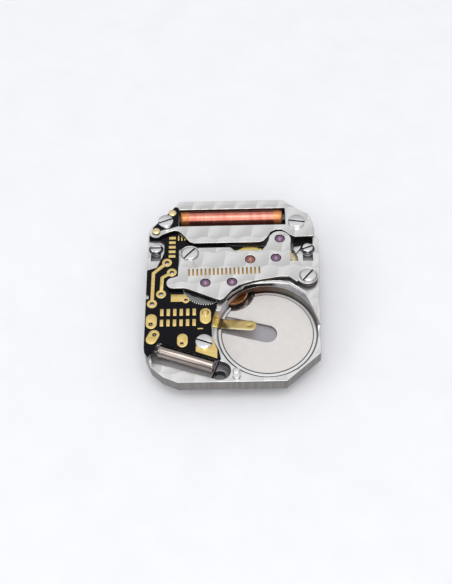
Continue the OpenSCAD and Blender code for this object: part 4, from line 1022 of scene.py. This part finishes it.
# The room turns from dim to bright between these heights of the view into it
ROOM_RISE = (0.05, 0.8)
ROOM_STRENGTH = 0.9


def towards(azimuth, elevation):
    """The direction at an azimuth from the near side and an elevation, in degrees."""
    az, el = math.radians(azimuth), math.radians(elevation)
    return Vector((math.sin(az) * math.cos(el), -math.cos(az) * math.cos(el), math.sin(el)))


def floor():
    """A pale matt table top just under the hour pipe."""
    material, tree = blank("pale_table_top")
    fibres = add(tree, "ShaderNodeTexNoise", {
        "Vector": place_mm(tree), "Scale": TABLE_FIBRES, "Detail": 2.0})
    tone = add(tree, "ShaderNodeMix", {
        0: fibres.outputs["Fac"], 6: colour("#ececee"), 7: colour("#f3f3f5")}, data_type="RGBA")
    surface(tree, {"Base Color": tone.outputs[2], "Roughness": 0.7})
    bm = bmesh.new()
    bmesh.ops.create_grid(bm, x_segments=1, y_segments=1, size=FLOOR_SIDE / 2)
    bmesh.ops.translate(bm, vec=(0, 0, cad_box[0].z), verts=bm.verts)
    mesh = bpy.data.meshes.new("table_top")
    bm.to_mesh(mesh)
    bm.free()
    mesh.materials.append(material)
    table = bpy.data.objects.new("table_top", mesh)
    bpy.context.scene.collection.objects.link(table)


def lamp(name, azimuth, elevation, distance, side, power):
    """A square soft lamp aimed at the movement."""
    data = bpy.data.lights.new(name, "AREA")
    data.size = side
    data.energy = power
    lamp_object = bpy.data.objects.new(name, data)
    away = towards(azimuth, elevation)
    lamp_object.location = LAMP_AIM + away * distance
    lamp_object.rotation_euler = away.to_track_quat("Z", "Y").to_euler()
    bpy.context.scene.collection.objects.link(lamp_object)


def light():
    """One lamp overhead, one at the near side and one at the left, whose light the chamfers catch,
    and a room that is bright above and dim at the horizon."""
    for settings in LAMPS:
        lamp(*settings)
    world = bpy.data.worlds.new("pale_room")
    world.use_nodes = True
    tree = world.node_tree
    tree.nodes.clear()
    coords = add(tree, "ShaderNodeTexCoord")
    parts = add(tree, "ShaderNodeSeparateXYZ", {"Vector": coords.outputs["Generated"]})
    height = add(tree, "ShaderNodeMapRange", {
        "Value": parts.outputs["Z"], "From Min": ROOM_RISE[0], "From Max": ROOM_RISE[1]})
    sky = add(tree, "ShaderNodeMix", {
        0: height.outputs["Result"], 6: colour("#8f9198"), 7: colour("#f6f7fa")}, data_type="RGBA")
    background = add(tree, "ShaderNodeBackground", {"Color": sky.outputs[2], "Strength": ROOM_STRENGTH})
    add(tree, "ShaderNodeOutputWorld", {"Surface": background.outputs["Background"]})
    bpy.context.scene.world = world


def camera():
    """The photograph's view: turned about the aim point, then rolled."""
    back = towards(CAMERA_AZIMUTH, CAMERA_ELEVATION)
    azimuth, roll = math.radians(CAMERA_AZIMUTH), math.radians(CAMERA_ROLL)
    level = Vector((math.cos(azimuth), math.sin(azimuth), 0))
    rise = back.cross(level)
    right = math.cos(roll) * level + math.sin(roll) * rise
    up = math.cos(roll) * rise - math.sin(roll) * level
    data = bpy.data.cameras.new("view")
    data.sensor_width = 36
    data.lens = FOCAL_PIXELS * data.sensor_width / LONG_SIDE
    data.clip_start = 0.001
    view = bpy.data.objects.new("view", data)
    turn = Matrix((right, up, back)).transposed().to_4x4()
    view.matrix_world = Matrix.Translation(CAMERA_AIM + back * CAMERA_DISTANCE) @ turn
    bpy.context.scene.collection.objects.link(view)
    bpy.context.scene.camera = view


floor()
light()
camera()
bpy.context.scene.view_settings.view_transform = "Standard"
